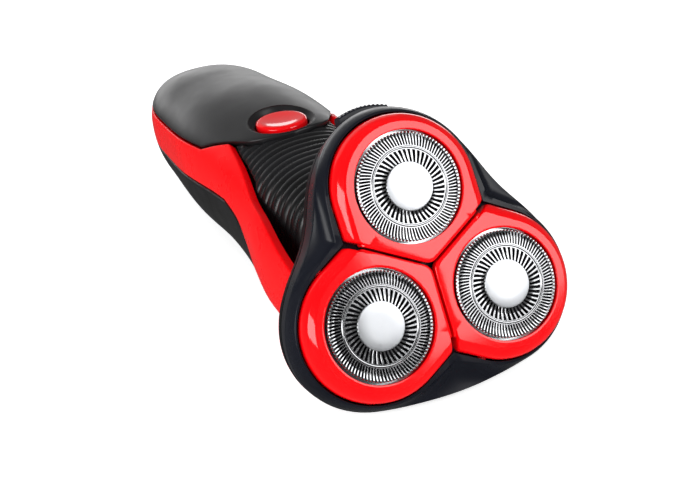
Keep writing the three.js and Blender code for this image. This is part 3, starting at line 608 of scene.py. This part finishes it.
def make_frame_inside(material):
    # three arms to a boss in the middle, which the retainer's knob locks into, and the hinge strap
    for name, degrees in LOBES.items():
        arm = Shape(on_lobe(degrees + 180))
        arm.bar((-ARM_HALF_WIDTH, ARM_START, ARM_BOTTOM), (ARM_HALF_WIDTH, ARM_END, ARM_TOP))
        finish_piece(arm.build(f"frame_arm_{name}"), "head", [], material)
    boss = Shape(in_head)
    rings_from_profiles(boss, lambda degrees: BOSS_PROFILE, 48)
    finish_piece(boss.build("frame_boss"), "head", [], material)
    knuckle = Shape(in_head)
    half = FRAME_KNUCKLE_HALF
    hinge_knuckle(knuckle, -half, half)
    knuckle.bar((-half, HINGE_Y + 0.3, SEAM_DEPTH + 0.7), (half, HINGE_Y + 1.9, SEAM_DEPTH + 2.3))
    finish_piece(knuckle.build("frame_knuckle"), "head", [], material)


# ---------------------------------------------------------------- head base
TAB_WINDOW_HALF = 5.9
TAB_WINDOW_BOTTOM, TAB_WINDOW_TOP = -16.3, -12.0
LOWER_START = -17.8
UNDERSIDE = [(0, -17.6), (0.12, -18.45), (0.3, -19.2), (0.5, -19.75), (0.7, -20.15), (0.9, -20.55)]


def lower_reach(degrees, share, inset=0.0):
    # the underside narrows from the wall (0) to the round foot of the base (1)
    return mix(outer_reach(degrees, LOWER_START, 1.5), BASE_BOTTOM_RADIUS, share) - inset


def base_profile(degrees):
    top = SEAM_DEPTH - SEAM_GAP
    outline = [
        (outer_reach(degrees, top, 0.42), top),
        (outer_reach(degrees, top, 0.31), top - 0.07),
        (outer_reach(degrees, -13, 0.48), -13),
        (outer_reach(degrees, -14.5, 0.7), -14.5),
        (outer_reach(degrees, -16.1, 1.03), -16.1),
    ]
    outline += [(lower_reach(degrees, share), height) for share, height in UNDERSIDE]
    return outline + [
        (BASE_BOTTOM_RADIUS, BASE_BOTTOM_DEPTH),
        (BASE_BOTTOM_RADIUS - WALL, BASE_BOTTOM_DEPTH),
        (BASE_BOTTOM_RADIUS - WALL - 0.2, -19.4),
        (4.6, -19.2),
        (4.6, -17.9),
        (lower_reach(degrees, 0, WALL + 0.4), -17.3),
        (outer_reach(degrees, -14.5, 0.7 + WALL), -14.5),
        (outer_reach(degrees, top, 0.3 + WALL), top),
    ]


def make_head_base(material):
    shape = Shape(in_head)
    rings_from_profiles(shape, base_profile, FRAME_SIDES)
    piece = shape.build("head_base_shell")
    carve_back(piece, HINGE_RELIEF_HALF, HINGE_Y + 1.5, SEAM_DEPTH - 1.7, SEAM_DEPTH + 1)
    carve_back(piece, SWING_ROOM_HALF, HINGE_Y + 0.4, SEAM_DEPTH - 1.5, SEAM_DEPTH + 1)
    window = Shape(in_head)
    window.bar((-TAB_WINDOW_HALF, 28, TAB_WINDOW_BOTTOM), (TAB_WINDOW_HALF, 36, TAB_WINDOW_TOP), 0.1)
    carve(piece, window)
    finish_piece(piece, "handle", ["head_base"], material)
    start, end = BASE_KNUCKLE_START, BASE_KNUCKLE_END
    for name, x0, x1 in (("left", -end, -start), ("right", start, end)):
        knuckle = Shape(in_head)
        hinge_knuckle(knuckle, x0, x1)
        knuckle.bar((x0, HINGE_Y + 0.3, SEAM_DEPTH - 2.2), (x1, HINGE_Y + 1.2, SEAM_DEPTH - 0.7), 0.15)
        finish_piece(knuckle.build(f"base_knuckle_{name}"), "handle", [], material)


TAB_HALF_LENGTH = 5.5
TAB_BACK = 31.4
TAB_BOTTOM, TAB_TOP = -15.9, -12.4
TAB_REACH = 34.5
TAB_CURVE = 1.0
TAB_RIDGE = 0.28
TAB_RIDGE_PITCH = 0.92
TAB_CHAMFER = 0.3
TAB_STEPS = 120


def make_release_button(material):
    # a low tab that follows the head's outline, with upright ridges on its outer face
    bottom, top, chamfer = TAB_BOTTOM, TAB_TOP, TAB_CHAMFER
    rings = []
    for i in range(TAB_STEPS + 1):
        x = mix(-TAB_HALF_LENGTH, TAB_HALF_LENGTH, i / TAB_STEPS)
        ridge = TAB_RIDGE * max(math.cos(2 * math.pi * x / TAB_RIDGE_PITCH), 0) ** 0.7
        face = TAB_REACH - TAB_CURVE * (x / TAB_HALF_LENGTH) ** 2
        ridge_face = face + ridge
        rings.append([(x, TAB_BACK, bottom), (x, face - chamfer, bottom), (x, face, bottom + chamfer),
                      (x, ridge_face, bottom + 2 * chamfer), (x, ridge_face, top - 2 * chamfer),
                      (x, face, top - chamfer), (x, face - chamfer, top), (x, TAB_BACK, top)])
    shape = Shape(in_head)
    shape.rings(rings)
    shape.cap(rings[0])
    shape.cap(rings[-1])
    piece = shape.build("release_tab")
    finish_piece(piece, "release_button", ["release_button"], material)


# ---------------------------------------------------------------- handle surface
def section_at(profile, station):
    # half width, front, back, height of the widest point and the power of the back's curve
    past = max(station - TAIL_START, 0) / (TAIL_TIP - TAIL_START)
    close = math.sqrt(max(1 - past ** 2.2, 0))
    values = []
    for column in range(1, 6):
        values.append(curve_through([(row[0], row[column]) for row in profile], station))
    return [value * close for value in values[:4]] + [values[4]]


def handle_point(station, degrees, inset, profile=HANDLE_PROFILE):
    # a point of the handle: angle 0 is the front (up), 90 the side, 180 the back
    half_width, front, back, middle, lower_power = section_at(profile, station)
    side, rise = math.sin(math.radians(degrees)), math.cos(math.radians(degrees))
    inside, outside = 0.0, 60.0
    for _ in range(26):
        radius = (inside + outside) / 2
        height = radius * rise - middle
        reach = front - middle if height > 0 else back + middle
        power = UPPER_POWER if height > 0 else lower_power
        level = abs(radius * side / half_width) ** power + abs(height / reach) ** power
        if level > 1:
            outside = radius
        else:
            inside = radius
    radius = inside - inset
    return (radius * side, station, radius * rise)


EDGE_STEPS = (0.0, 0.06, 0.2, 0.45, 0.75, 1.0)


def edge_shares(count, length, rounding):
    # even steps from 0 to 1 with closer ones on the rounded edges at both ends
    edge = [step * rounding / length for step in EDGE_STEPS]
    inner = [mix(edge[-1], 1 - edge[-1], i / count) for i in range(1, count)]
    return edge + inner + [1 - share for share in reversed(edge)]


def edge_drop(share, length, rounding):
    # how far the surface falls away this close to its border
    gap = max(1 - min(share, 1 - share) * length / rounding, 0)
    return rounding * (1 - math.sqrt(max(1 - gap * gap, 0)))


def shell_patch(shape, place, across, along, columns, rows, thickness=WALL, rounding=0.5):
    # a patch of shell with rounded borders; place(c, r, inset) gives its points
    column_shares = edge_shares(columns, across, rounding)
    row_shares = edge_shares(rows, along, rounding)
    rings = []
    for c in column_shares:
        ring = []
        for r in row_shares:
            drop = max(edge_drop(c, across, rounding), edge_drop(r, along, rounding))
            ring.append(place(c, r, drop))
        ring += [place(c, r, thickness) for r in reversed(row_shares)]
        rings.append(ring)
    shape.rings(rings)
    rows_count = len(row_shares)
    for ring in (rings[0], rings[-1]):
        outer, inner = ring[:rows_count], ring[rows_count:][::-1]
        shape.rings([outer, inner], around=False)


def panel_start(degrees):
    if degrees <= PANEL_TIP_ANGLE:
        return curve_through(PANEL_FRONT_EDGE, degrees)
    share = (degrees - PANEL_TIP_ANGLE) / (PANEL_CORNER_ANGLE - PANEL_TIP_ANGLE)
    return mix(PANEL_TIP_STATION, PANEL_CORNER_STATION, share)


def recess_tool(half_width, half_length, bottom, top):
    tool = Shape(in_handle)
    rings = []
    for z in (bottom, top):
        rings.append(oval_ring(half_width, half_length, z))
    tool.rings(rings)
    tool.cap(rings[0])
    tool.cap(rings[1])
    return tool


def make_front_panel(material):
    def place(c, r, inset):
        share = c * 2 - 1
        start = panel_start(abs(share) * PANEL_CORNER_ANGLE) + SHELL_GAP
        station = mix(start, HANDLE_END, r)
        side = curve_through(PANEL_SIDE_EDGE, max(station, PANEL_CORNER_STATION)) - 0.7
        return handle_point(station, share * side, inset)

    shape = Shape(in_handle)
    shell_patch(shape, place, 44, 84, 64, 48)
    piece = shape.build("glossy_front_panel")
    carve(piece, recess_tool(RECESS_HALF_WIDTH, RECESS_HALF_LENGTH, 8, 22))
    finish_piece(piece, "handle", ["front_panel"], material)


def make_back_shell(material):
    edge_station, edge_angle = BACK_SIDE_EDGE[0]

    def place(c, r, inset):
        share = c * 2 - 1
        turn = 180 - abs(share) * (180 - edge_angle)
        station = mix(curve_through(BACK_FRONT_EDGE, turn) + SHELL_GAP, HANDLE_END, r)
        side = curve_through(BACK_SIDE_EDGE, max(station, edge_station)) + 0.7
        return handle_point(station, 180 + share * (180 - side), inset)

    shape = Shape(in_handle)
    shell_patch(shape, place, 70, 100, 72, 48)
    finish_piece(shape.build("back_shell_cover"), "handle", ["back_shell"], material)


TRIM_AT_CORNER, TRIM_AT_TIP, TRIM_AT_NECK = 0.35, 0.45, 0.75
TRIM_NECK_TURN = 110


def trim_edges(s):
    # both edges of the side trim on one side, from the tail (0) round to the back middle (1):
    # station and angle of the upper edge, then of the lower edge
    back_station, back_angle = BACK_SIDE_EDGE[0]
    if s < TRIM_AT_CORNER:
        station = mix(HANDLE_END, PANEL_CORNER_STATION, s / TRIM_AT_CORNER)
        angle = curve_through(PANEL_SIDE_EDGE, station)
        return (station, angle, station, curve_through(BACK_SIDE_EDGE, station))
    if s < TRIM_AT_TIP:
        t = (s - TRIM_AT_CORNER) / (TRIM_AT_TIP - TRIM_AT_CORNER)
        station = mix(PANEL_CORNER_STATION, PANEL_TIP_STATION, t)
        angle = mix(PANEL_CORNER_ANGLE, PANEL_TIP_ANGLE, t)
        return (station, angle, station, curve_through(BACK_SIDE_EDGE, station))
    if s < TRIM_AT_NECK:
        t = (s - TRIM_AT_TIP) / (TRIM_AT_NECK - TRIM_AT_TIP)
        top = mix(PANEL_TIP_STATION, SCOOP_START, t)
        top_angle = curve_through(SCOOP_EDGE, top)
        if t < 0.2:
            station = mix(PANEL_TIP_STATION, back_station, t / 0.2)
            return (top, top_angle, station, curve_through(BACK_SIDE_EDGE, station))
        turn = mix(back_angle, TRIM_NECK_TURN, ((t - 0.2) / 0.8) ** 1.4)
        return (top, top_angle, curve_through(BACK_FRONT_EDGE, turn), turn)
    t = (s - TRIM_AT_NECK) / (1 - TRIM_AT_NECK)
    turn = mix(TRIM_NECK_TURN, 180, t)
    return (SCOOP_START, mix(SCOOP_EDGE[0][1], 180, t), curve_through(BACK_FRONT_EDGE, turn), turn)


def make_side_trim(material):
    def place(c, r, inset):
        s = 1 - abs(c * 2 - 1)
        station0, angle0, station1, angle1 = trim_edges(s)
        width = math.hypot(station1 - station0, math.radians(angle1 - angle0) * 18)
        t = mix(SHELL_GAP / width, 1 - SHELL_GAP / width, r)
        angle = mix(angle0, angle1, t)
        return handle_point(mix(station0, station1, t), -angle if c < 0.5 else angle, inset)

    shape = Shape(in_handle)
    shell_patch(shape, place, 400, 18, 260, 14)
    finish_piece(shape.build("red_side_trim"), "handle", ["side_trim"], material)


# ---------------------------------------------------------------- neck
GRIP_SIDES = 160
GRIP_STEPS = 220


def grip_end(degrees):
    if degrees <= PANEL_TIP_ANGLE:
        return panel_start(degrees)
    return curve_through(GRIP_SIDE_EDGE, degrees)


def make_ribbed_grip(material):
    turns = [360 * i / GRIP_SIDES for i in range(GRIP_SIDES)]
    ends = [grip_end(min(turn, 360 - turn)) - SHELL_GAP for turn in turns]
    furthest = max(ends)

    def rib(station):
        # rounded ribs with narrow grooves between them
        wave = abs(math.sin(math.pi * (station - HANDLE_START) / RIB_PITCH))
        return RIB_DEPTH * (1 - wave ** 0.6)

    outer = []
    for k in range(GRIP_STEPS + 1):
        station = mix(HANDLE_START, furthest, k / GRIP_STEPS)
        ring = []
        for turn, end in zip(turns, ends):
            here = min(station, end)
            ring.append(handle_point(here, turn, rib(here), GRIP_PROFILE))
        outer.append(ring)
    inner = []
    for k in range(6, -1, -1):
        inner.append([handle_point(mix(HANDLE_START, end, k / 6), turn, WALL, GRIP_PROFILE)
                      for turn, end in zip(turns, ends)])
    shape = Shape(in_handle)
    shape.rings(outer + inner, closed=True)
    finish_piece(shape.build("ribbed_neck_grip", 60), "handle", ["ribbed_grip"], material)


def make_neck_collar(material):
    sides = 120
    tilt_up = Vector((0, HEAD_UP.y, HEAD_UP.z))
    tilt_out = Vector((0, HEAD_OUT.y, HEAD_OUT.z))

    def ring(share, inset):
        points = []
        for i in range(sides):
            turn = 2 * math.pi * i / sides
            depth = NECK_ROOT_DEPTH + BASE_BOTTOM_DEPTH - 0.3
            radius = BASE_BOTTOM_RADIUS - inset
            start = tilt_out * depth + tilt_up * radius * math.cos(turn)
            start += Vector((radius * math.sin(turn), 0, 0))
            end = Vector(handle_point(HANDLE_START - 0.35, math.degrees(turn), inset, GRIP_PROFILE))
            reach = (start - end).length * 0.35
            leave = start - tilt_out * reach
            arrive = end - Vector((0, reach, 0))
            a, b = (1 - share) ** 3, 3 * share * (1 - share) ** 2
            c, d = 3 * share ** 2 * (1 - share), share ** 3
            points.append(tuple(start * a + leave * b + arrive * c + end * d))
        return points

    shares = [i / 16 for i in range(17)]
    shape = Shape(in_handle)
    outside = [ring(share, 0) for share in shares]
    inside = [ring(share, WALL) for share in reversed(shares)]
    shape.rings(outside + inside, closed=True)
    finish_piece(shape.build("glossy_neck_collar"), "handle", ["neck_collar"], material)


# ---------------------------------------------------------------- power button
FRONT_HEIGHT = section_at(HANDLE_PROFILE, BUTTON_STATION)[1]
CAP_LEVELS = [(1.0, -3.6), (1.0, -1.0), (0.985, -0.75), (0.95, -0.53), (0.9, -0.37), (0.84, -0.3),
              (0.76, -0.33), (0.62, -0.47), (0.42, -0.63), (0.2, -0.71), (0.02, -0.73)]
STEM_RADIUS = 1.6


def oval_ring(half_width, half_length, height, sides=96):
    ring = []
    for i in range(sides):
        turn = 2 * math.pi * i / sides
        ring.append((half_width * math.cos(turn), BUTTON_STATION + half_length * math.sin(turn), height))
    return ring


def lip_ring(half_width, half_length, drop, sides=96):
    # an oval that lies on the front panel's own surface, or a little below it
    ring = []
    for i in range(sides):
        turn = 2 * math.pi * i / sides
        x = half_width * math.cos(turn)
        station = BUTTON_STATION + half_length * math.sin(turn)
        ring.append((x, station, front_surface(x, station) - drop))
    return ring


def front_surface(x, station):
    # height of the handle's front at this distance from its middle line
    half_width, front, _, middle, _ = section_at(HANDLE_PROFILE, station)
    share = (1 - abs(x / half_width) ** UPPER_POWER) ** (1 / UPPER_POWER)
    return middle + (front - middle) * share


def make_button_bezel(material):
    top, bottom = FRONT_HEIGHT - 1.5, FRONT_HEIGHT - 4.4
    outer = (RECESS_HALF_WIDTH - 0.3, RECESS_HALF_LENGTH - 0.3)
    inner = (BUTTON_HALF_WIDTH + 0.4, BUTTON_HALF_LENGTH + 0.4)
    lip = (RECESS_HALF_WIDTH + 0.45, RECESS_HALF_LENGTH + 0.45)
    shape = Shape(in_handle)
    rings = [oval_ring(*outer, bottom), lip_ring(*outer, 0.9), lip_ring(lip[0], lip[1], 0.05)]
    for share in (0.1, 0.25, 0.4, 0.55, 0.7, 0.85, 1.0):
        oval = (mix(lip[0], inner[0] + 0.3, share), mix(lip[1], inner[1] + 0.3, share))
        on_surface = lip_ring(oval[0], oval[1], -0.06)
        fall = smooth(share)
        rings.append([(x, y, mix(z, top - 0.12, fall)) for x, y, z in on_surface])
    rings += [oval_ring(*inner, top - 0.4), oval_ring(*inner, bottom)]
    shape.rings(rings, closed=True)
    finish_piece(shape.build("button_surround"), "handle", ["button_bezel"], material)


def make_power_button(material):
    shape = Shape(in_handle)
    rings = []
    for share, drop in CAP_LEVELS:
        rings.append(oval_ring(BUTTON_HALF_WIDTH * share, BUTTON_HALF_LENGTH * share, FRONT_HEIGHT + drop))
    shape.rings(rings)
    shape.cap(rings[0])
    shape.cap(rings[-1])
    stem_bottom, stem_top = FRONT_HEIGHT - 5.5, FRONT_HEIGHT - 3.4
    shape.rod((0, BUTTON_STATION, stem_bottom), (0, BUTTON_STATION, stem_top), STEM_RADIUS)
    finish_piece(shape.build("power_button_cap"), "power_button", ["power_button"], material)


# ---------------------------------------------------------------- materials
COAT_ROUGHNESS = 0.06
GRAIN_HEIGHT = 0.00002


def noise_output(tree, links, scale, detail):
    coordinates = tree.new("ShaderNodeTexCoord")
    noise = tree.new("ShaderNodeTexNoise")
    noise.inputs["Scale"].default_value = scale
    noise.inputs["Detail"].default_value = detail
    links.new(coordinates.outputs["Object"], noise.inputs["Vector"])
    return noise.outputs["Fac"]


def colour_noise(tree, links, scale, detail, low, high):
    ramp = tree.new("ShaderNodeValToRGB")
    first, last = ramp.color_ramp.elements
    first.position, last.position = 0.35, 0.65
    first.color, last.color = (*low, 1), (*high, 1)
    links.new(noise_output(tree, links, scale, detail), ramp.inputs["Fac"])
    return ramp.outputs["Color"]


def number_noise(tree, links, scale, detail, low, high):
    span = tree.new("ShaderNodeMapRange")
    span.inputs["From Min"].default_value = 0.3
    span.inputs["From Max"].default_value = 0.7
    span.inputs["To Min"].default_value = low
    span.inputs["To Max"].default_value = high
    links.new(noise_output(tree, links, scale, detail), span.inputs["Value"])
    return span.outputs["Result"]


def surface(name, low, high, roughness, grain, bump, patch=60.0, metallic=0.0, coat=0.0, specular=0.5):
    # a moulded or metal surface: slight colour variation, uneven gloss and a fine grain
    material = bpy.data.materials.new(name)
    material.use_nodes = True
    tree, links = material.node_tree.nodes, material.node_tree.links
    shader = tree["Principled BSDF"]
    shader.inputs["Metallic"].default_value = metallic
    shader.inputs["Coat Weight"].default_value = coat
    shader.inputs["Coat Roughness"].default_value = COAT_ROUGHNESS
    shader.inputs["Specular IOR Level"].default_value = specular
    links.new(colour_noise(tree, links, patch, 3.0, low, high), shader.inputs["Base Color"])
    links.new(number_noise(tree, links, patch * 2.3, 4.0, *roughness), shader.inputs["Roughness"])
    relief = tree.new("ShaderNodeBump")
    relief.inputs["Strength"].default_value = bump
    relief.inputs["Distance"].default_value = GRAIN_HEIGHT
    links.new(number_noise(tree, links, grain, 2.0, 0.0, 1.0), relief.inputs["Height"])
    links.new(relief.outputs["Normal"], shader.inputs["Normal"])
    return material


def red_gloss():
    return surface("red_lacquer", (0.82, 0.0, 0.002), (0.90, 0.0, 0.003), (0.07, 0.11),
                   grain=900, bump=0.01, coat=0.3)


def trim_red():
    return surface("trim_red", (0.82, 0.0, 0.002), (0.88, 0.0, 0.003), (0.26, 0.3),
                   grain=900, bump=0.01, specular=0.15)


def black_gloss():
    return surface("black_piano_gloss", (0.006, 0.006, 0.008), (0.011, 0.011, 0.013), (0.1, 0.17),
                   grain=900, bump=0.02, coat=0.5)


def panel_black():
    return surface("panel_gloss_black", (0.006, 0.006, 0.007), (0.011, 0.011, 0.012), (0.34, 0.4),
                   grain=900, bump=0.02, specular=0.6)


def base_black():
    return surface("base_satin_black", (0.003, 0.003, 0.004), (0.006, 0.006, 0.008), (0.45, 0.55),
                   grain=5200, bump=0.1, specular=0.08)


def grip_black():
    return surface("grip_rubber", (0.004, 0.004, 0.004), (0.008, 0.008, 0.009), (0.24, 0.34),
                   grain=6000, bump=0.1)


def black_satin():
    return surface("black_satin_plastic", (0.004, 0.005, 0.009), (0.008, 0.009, 0.014), (0.24, 0.34),
                   grain=5200, bump=0.12, specular=0.3)


def black_rubber():
    return surface("soft_touch_rubber", (0.006, 0.006, 0.006), (0.011, 0.011, 0.012), (0.36, 0.48),
                   grain=6000, bump=0.2, specular=0.4)


def grey_nylon():
    return surface("grey_nylon", (0.04, 0.043, 0.048), (0.06, 0.065, 0.07), (0.4, 0.55),
                   grain=4500, bump=0.2)


def white_nylon():
    return surface("white_nylon", (0.72, 0.70, 0.64), (0.82, 0.80, 0.74), (0.35, 0.5),
                   grain=4500, bump=0.15)


def polished_foil():
    return surface("polished_foil", (0.44, 0.445, 0.46), (0.52, 0.525, 0.54), (0.1, 0.2),
                   grain=7000, bump=0.08, metallic=1.0)


def satin_disc():
    return surface("satin_foil_disc", (0.86, 0.88, 0.92), (0.93, 0.95, 0.98), (0.3, 0.4),
                   grain=9000, bump=0.25, metallic=1.0)


def steel():
    return surface("ground_steel", (0.30, 0.31, 0.33), (0.42, 0.43, 0.45), (0.25, 0.4),
                   grain=7000, bump=0.2, metallic=1.0)


# blade steel darkened almost to black as painted shade, so the foil slots read as the dark inside of the head
def cutter_steel():
    return surface("dark_cutter_steel", (0.008, 0.008, 0.01), (0.015, 0.015, 0.018), (0.35, 0.5),
                   grain=7000, bump=0.2, metallic=1.0)


def contact_brass():
    return surface("plated_brass", (0.55, 0.42, 0.2), (0.66, 0.52, 0.27), (0.2, 0.34),
                   grain=6000, bump=0.1, metallic=1.0)


def board_green():
    return surface("board_green", (0.012, 0.12, 0.04), (0.03, 0.2, 0.08), (0.25, 0.4),
                   grain=3000, bump=0.2, patch=300)


def cell_sleeve():
    return surface("cell_sleeve", (0.02, 0.10, 0.30), (0.04, 0.15, 0.4), (0.2, 0.3),
                   grain=1500, bump=0.1)


def make_materials():
    # the record's material slots first, then the finer kinds that only the looks tell apart
    makers = (red_gloss, black_gloss, black_satin, black_rubber, grey_nylon, white_nylon, polished_foil,
              steel, contact_brass, board_green, cell_sleeve, trim_red, panel_black, base_black,
              grip_black, satin_disc, cutter_steel)
    return {maker.__name__: maker() for maker in makers}


def paint_cad_nodes(materials):
    # the inner nodes keep their CAD shape and get the material of their slot, except the blades, which get steel
    # darkened as painted shade
    for part in frame["record"]["subparts"]:
        node = frame["nodes"][part["node"]]
        node.data.materials.clear()
        # the blades get the steel darkened with painted shade for the dark inside of the head
        kind = "cutter_steel" if part["node"].startswith("blade") else part["material_slot"]
        node.data.materials.append(materials[kind])


# ---------------------------------------------------------------- stage, light and camera
FLOOR_HALF = 1.6
FLOOR_STEPS = 8
FLOOR_DEPTH = 0.0004
FLOOR_GLOW = 0.7
WORLD_LIGHT = 0.12
CAMERA_AZIMUTH = 20.237
CAMERA_ELEVATION = -24.808
CAMERA_ROLL = 8.526
CAMERA_DISTANCE = 234.74
CAMERA_ASIDE = -16.23
CAMERA_RISE = 4.44
CAMERA_LENS = 61.714


def make_floor():
    # sheet of paper that lights itself a little, so that it comes out white
    shape = Shape(lambda x, y, z: Vector((x, y, z)))
    stops = [mix(-FLOOR_HALF, FLOOR_HALF, i / FLOOR_STEPS) for i in range(FLOOR_STEPS + 1)]
    shape.rings([[(x, y, -FLOOR_DEPTH) for x in stops] for y in stops], around=False)
    floor = shape.build("studio_floor")
    paper = surface("lit_studio_paper", (0.80, 0.80, 0.805), (0.84, 0.84, 0.84), (0.7, 0.8), grain=800,
                    bump=0.02, patch=3.0, specular=0.1)
    glow = paper.node_tree.nodes["Principled BSDF"]
    glow.inputs["Emission Color"].default_value = (1, 1, 1, 1)
    glow.inputs["Emission Strength"].default_value = FLOOR_GLOW
    floor.data.materials.append(paper)
    # a cut-out look: the paper is not mirrored in the gloss
    floor.visible_glossy = False


def add_area_light(name, location, target, size, power):
    data = bpy.data.lights.new(name, "AREA")
    data.shape = "RECTANGLE"
    data.size, data.size_y = size
    data.energy = power
    light = bpy.data.objects.new(name, data)
    light.location = location
    light.rotation_euler = (Vector(target) - Vector(location)).to_track_quat("-Z", "Y").to_euler()
    bpy.context.scene.collection.objects.link(light)
    return light


def add_fill_light(name, location, target, size, power):
    # lights the colours but leaves no reflection of its own in the gloss
    add_area_light(name, location, target, size, power).visible_glossy = False


def from_head(azimuth, elevation, distance):
    # a place in front of the cutters: azimuth turns towards +X, elevation lifts it
    turn, lift = math.radians(azimuth), math.radians(elevation)
    across, level = math.sin(turn), -math.cos(turn)
    direction = Vector((across * math.cos(lift), level * math.cos(lift), math.sin(lift)))
    return HEAD_CENTRE + direction * distance


def make_world():
    world = bpy.data.worlds.new("studio_world")
    world.use_nodes = True
    background = world.node_tree.nodes["Background"]
    background.inputs["Color"].default_value = (1, 1, 1, 1)
    background.inputs["Strength"].default_value = WORLD_LIGHT
    bpy.context.scene.world = world


def make_light():
    # places and sizes in metres, power in watts
    make_world()
    centre = tuple(HEAD_CENTRE)
    add_area_light("front_softbox", from_head(36, 30, 0.7), centre, (0.4, 0.4), 1.7)
    add_area_light("left_window", from_head(-76, 18, 0.7), centre, (0.5, 0.3), 2.2)
    add_area_light("back_wall", (0.0, 1.1, 0.55), (0, 0, 0.05), (1.4, 0.6), 0.7)
    add_area_light("tail_glow", (0.35, 1.1, 0.12), (0, 0, 0.03), (1.6, 0.3), 3.0)
    add_fill_light("fill_top", (-0.1, 0.1, 0.9), (0, 0, 0), (0.8, 0.8), 3.4)
    add_fill_light("fill_left", (-0.8, -0.3, 0.35), centre, (0.6, 0.6), 2.6)
    add_fill_light("fill_front", (0.0, -0.9, 0.4), centre, (0.6, 0.6), 2.6)


def make_camera():
    # looks along the azimuth (from +Y towards +X) and elevation, then rolls about that direction
    turn, lift, roll = (math.radians(a) for a in (CAMERA_AZIMUTH, CAMERA_ELEVATION, CAMERA_ROLL))
    forward = Vector((math.sin(turn) * math.cos(lift), math.cos(turn) * math.cos(lift), math.sin(lift)))
    level = Vector((math.cos(turn), -math.sin(turn), 0))
    upright = level.cross(forward)
    right = level * math.cos(roll) - upright * math.sin(roll)
    up = right.cross(forward)
    place = HEAD_CENTRE + (right * CAMERA_ASIDE + up * CAMERA_RISE - forward * CAMERA_DISTANCE) * MM
    data = bpy.data.cameras.new("studio_camera")
    data.sensor_width = 36
    data.lens = CAMERA_LENS
    data.clip_start = 0.01
    data.dof.use_dof = False
    camera = bpy.data.objects.new("studio_camera", data)
    facing = Matrix((right, up, -forward)).transposed().to_4x4()
    camera.matrix_world = Matrix.Translation(place) @ facing
    bpy.context.scene.collection.objects.link(camera)
    bpy.context.scene.camera = camera


# ---------------------------------------------------------------- the whole scene
bpy.context.scene.view_settings.view_transform = "Standard"
make_camera()
make_light()
make_floor()
materials = make_materials()
paint_cad_nodes(materials)
make_head_frame(materials["black_satin"])
make_head_base(materials["base_black"])
make_release_button(materials["black_satin"])
for lobe in LOBES:
    make_petal(lobe, materials["red_gloss"])
    make_foil(lobe, materials["polished_foil"])
    make_foil_disc(lobe, materials["satin_disc"])
make_neck_collar(materials["black_gloss"])
make_ribbed_grip(materials["grip_black"])
make_side_trim(materials["trim_red"])
make_back_shell(materials["black_rubber"])
make_front_panel(materials["panel_black"])
make_button_bezel(materials["panel_black"])
make_power_button(materials["red_gloss"])
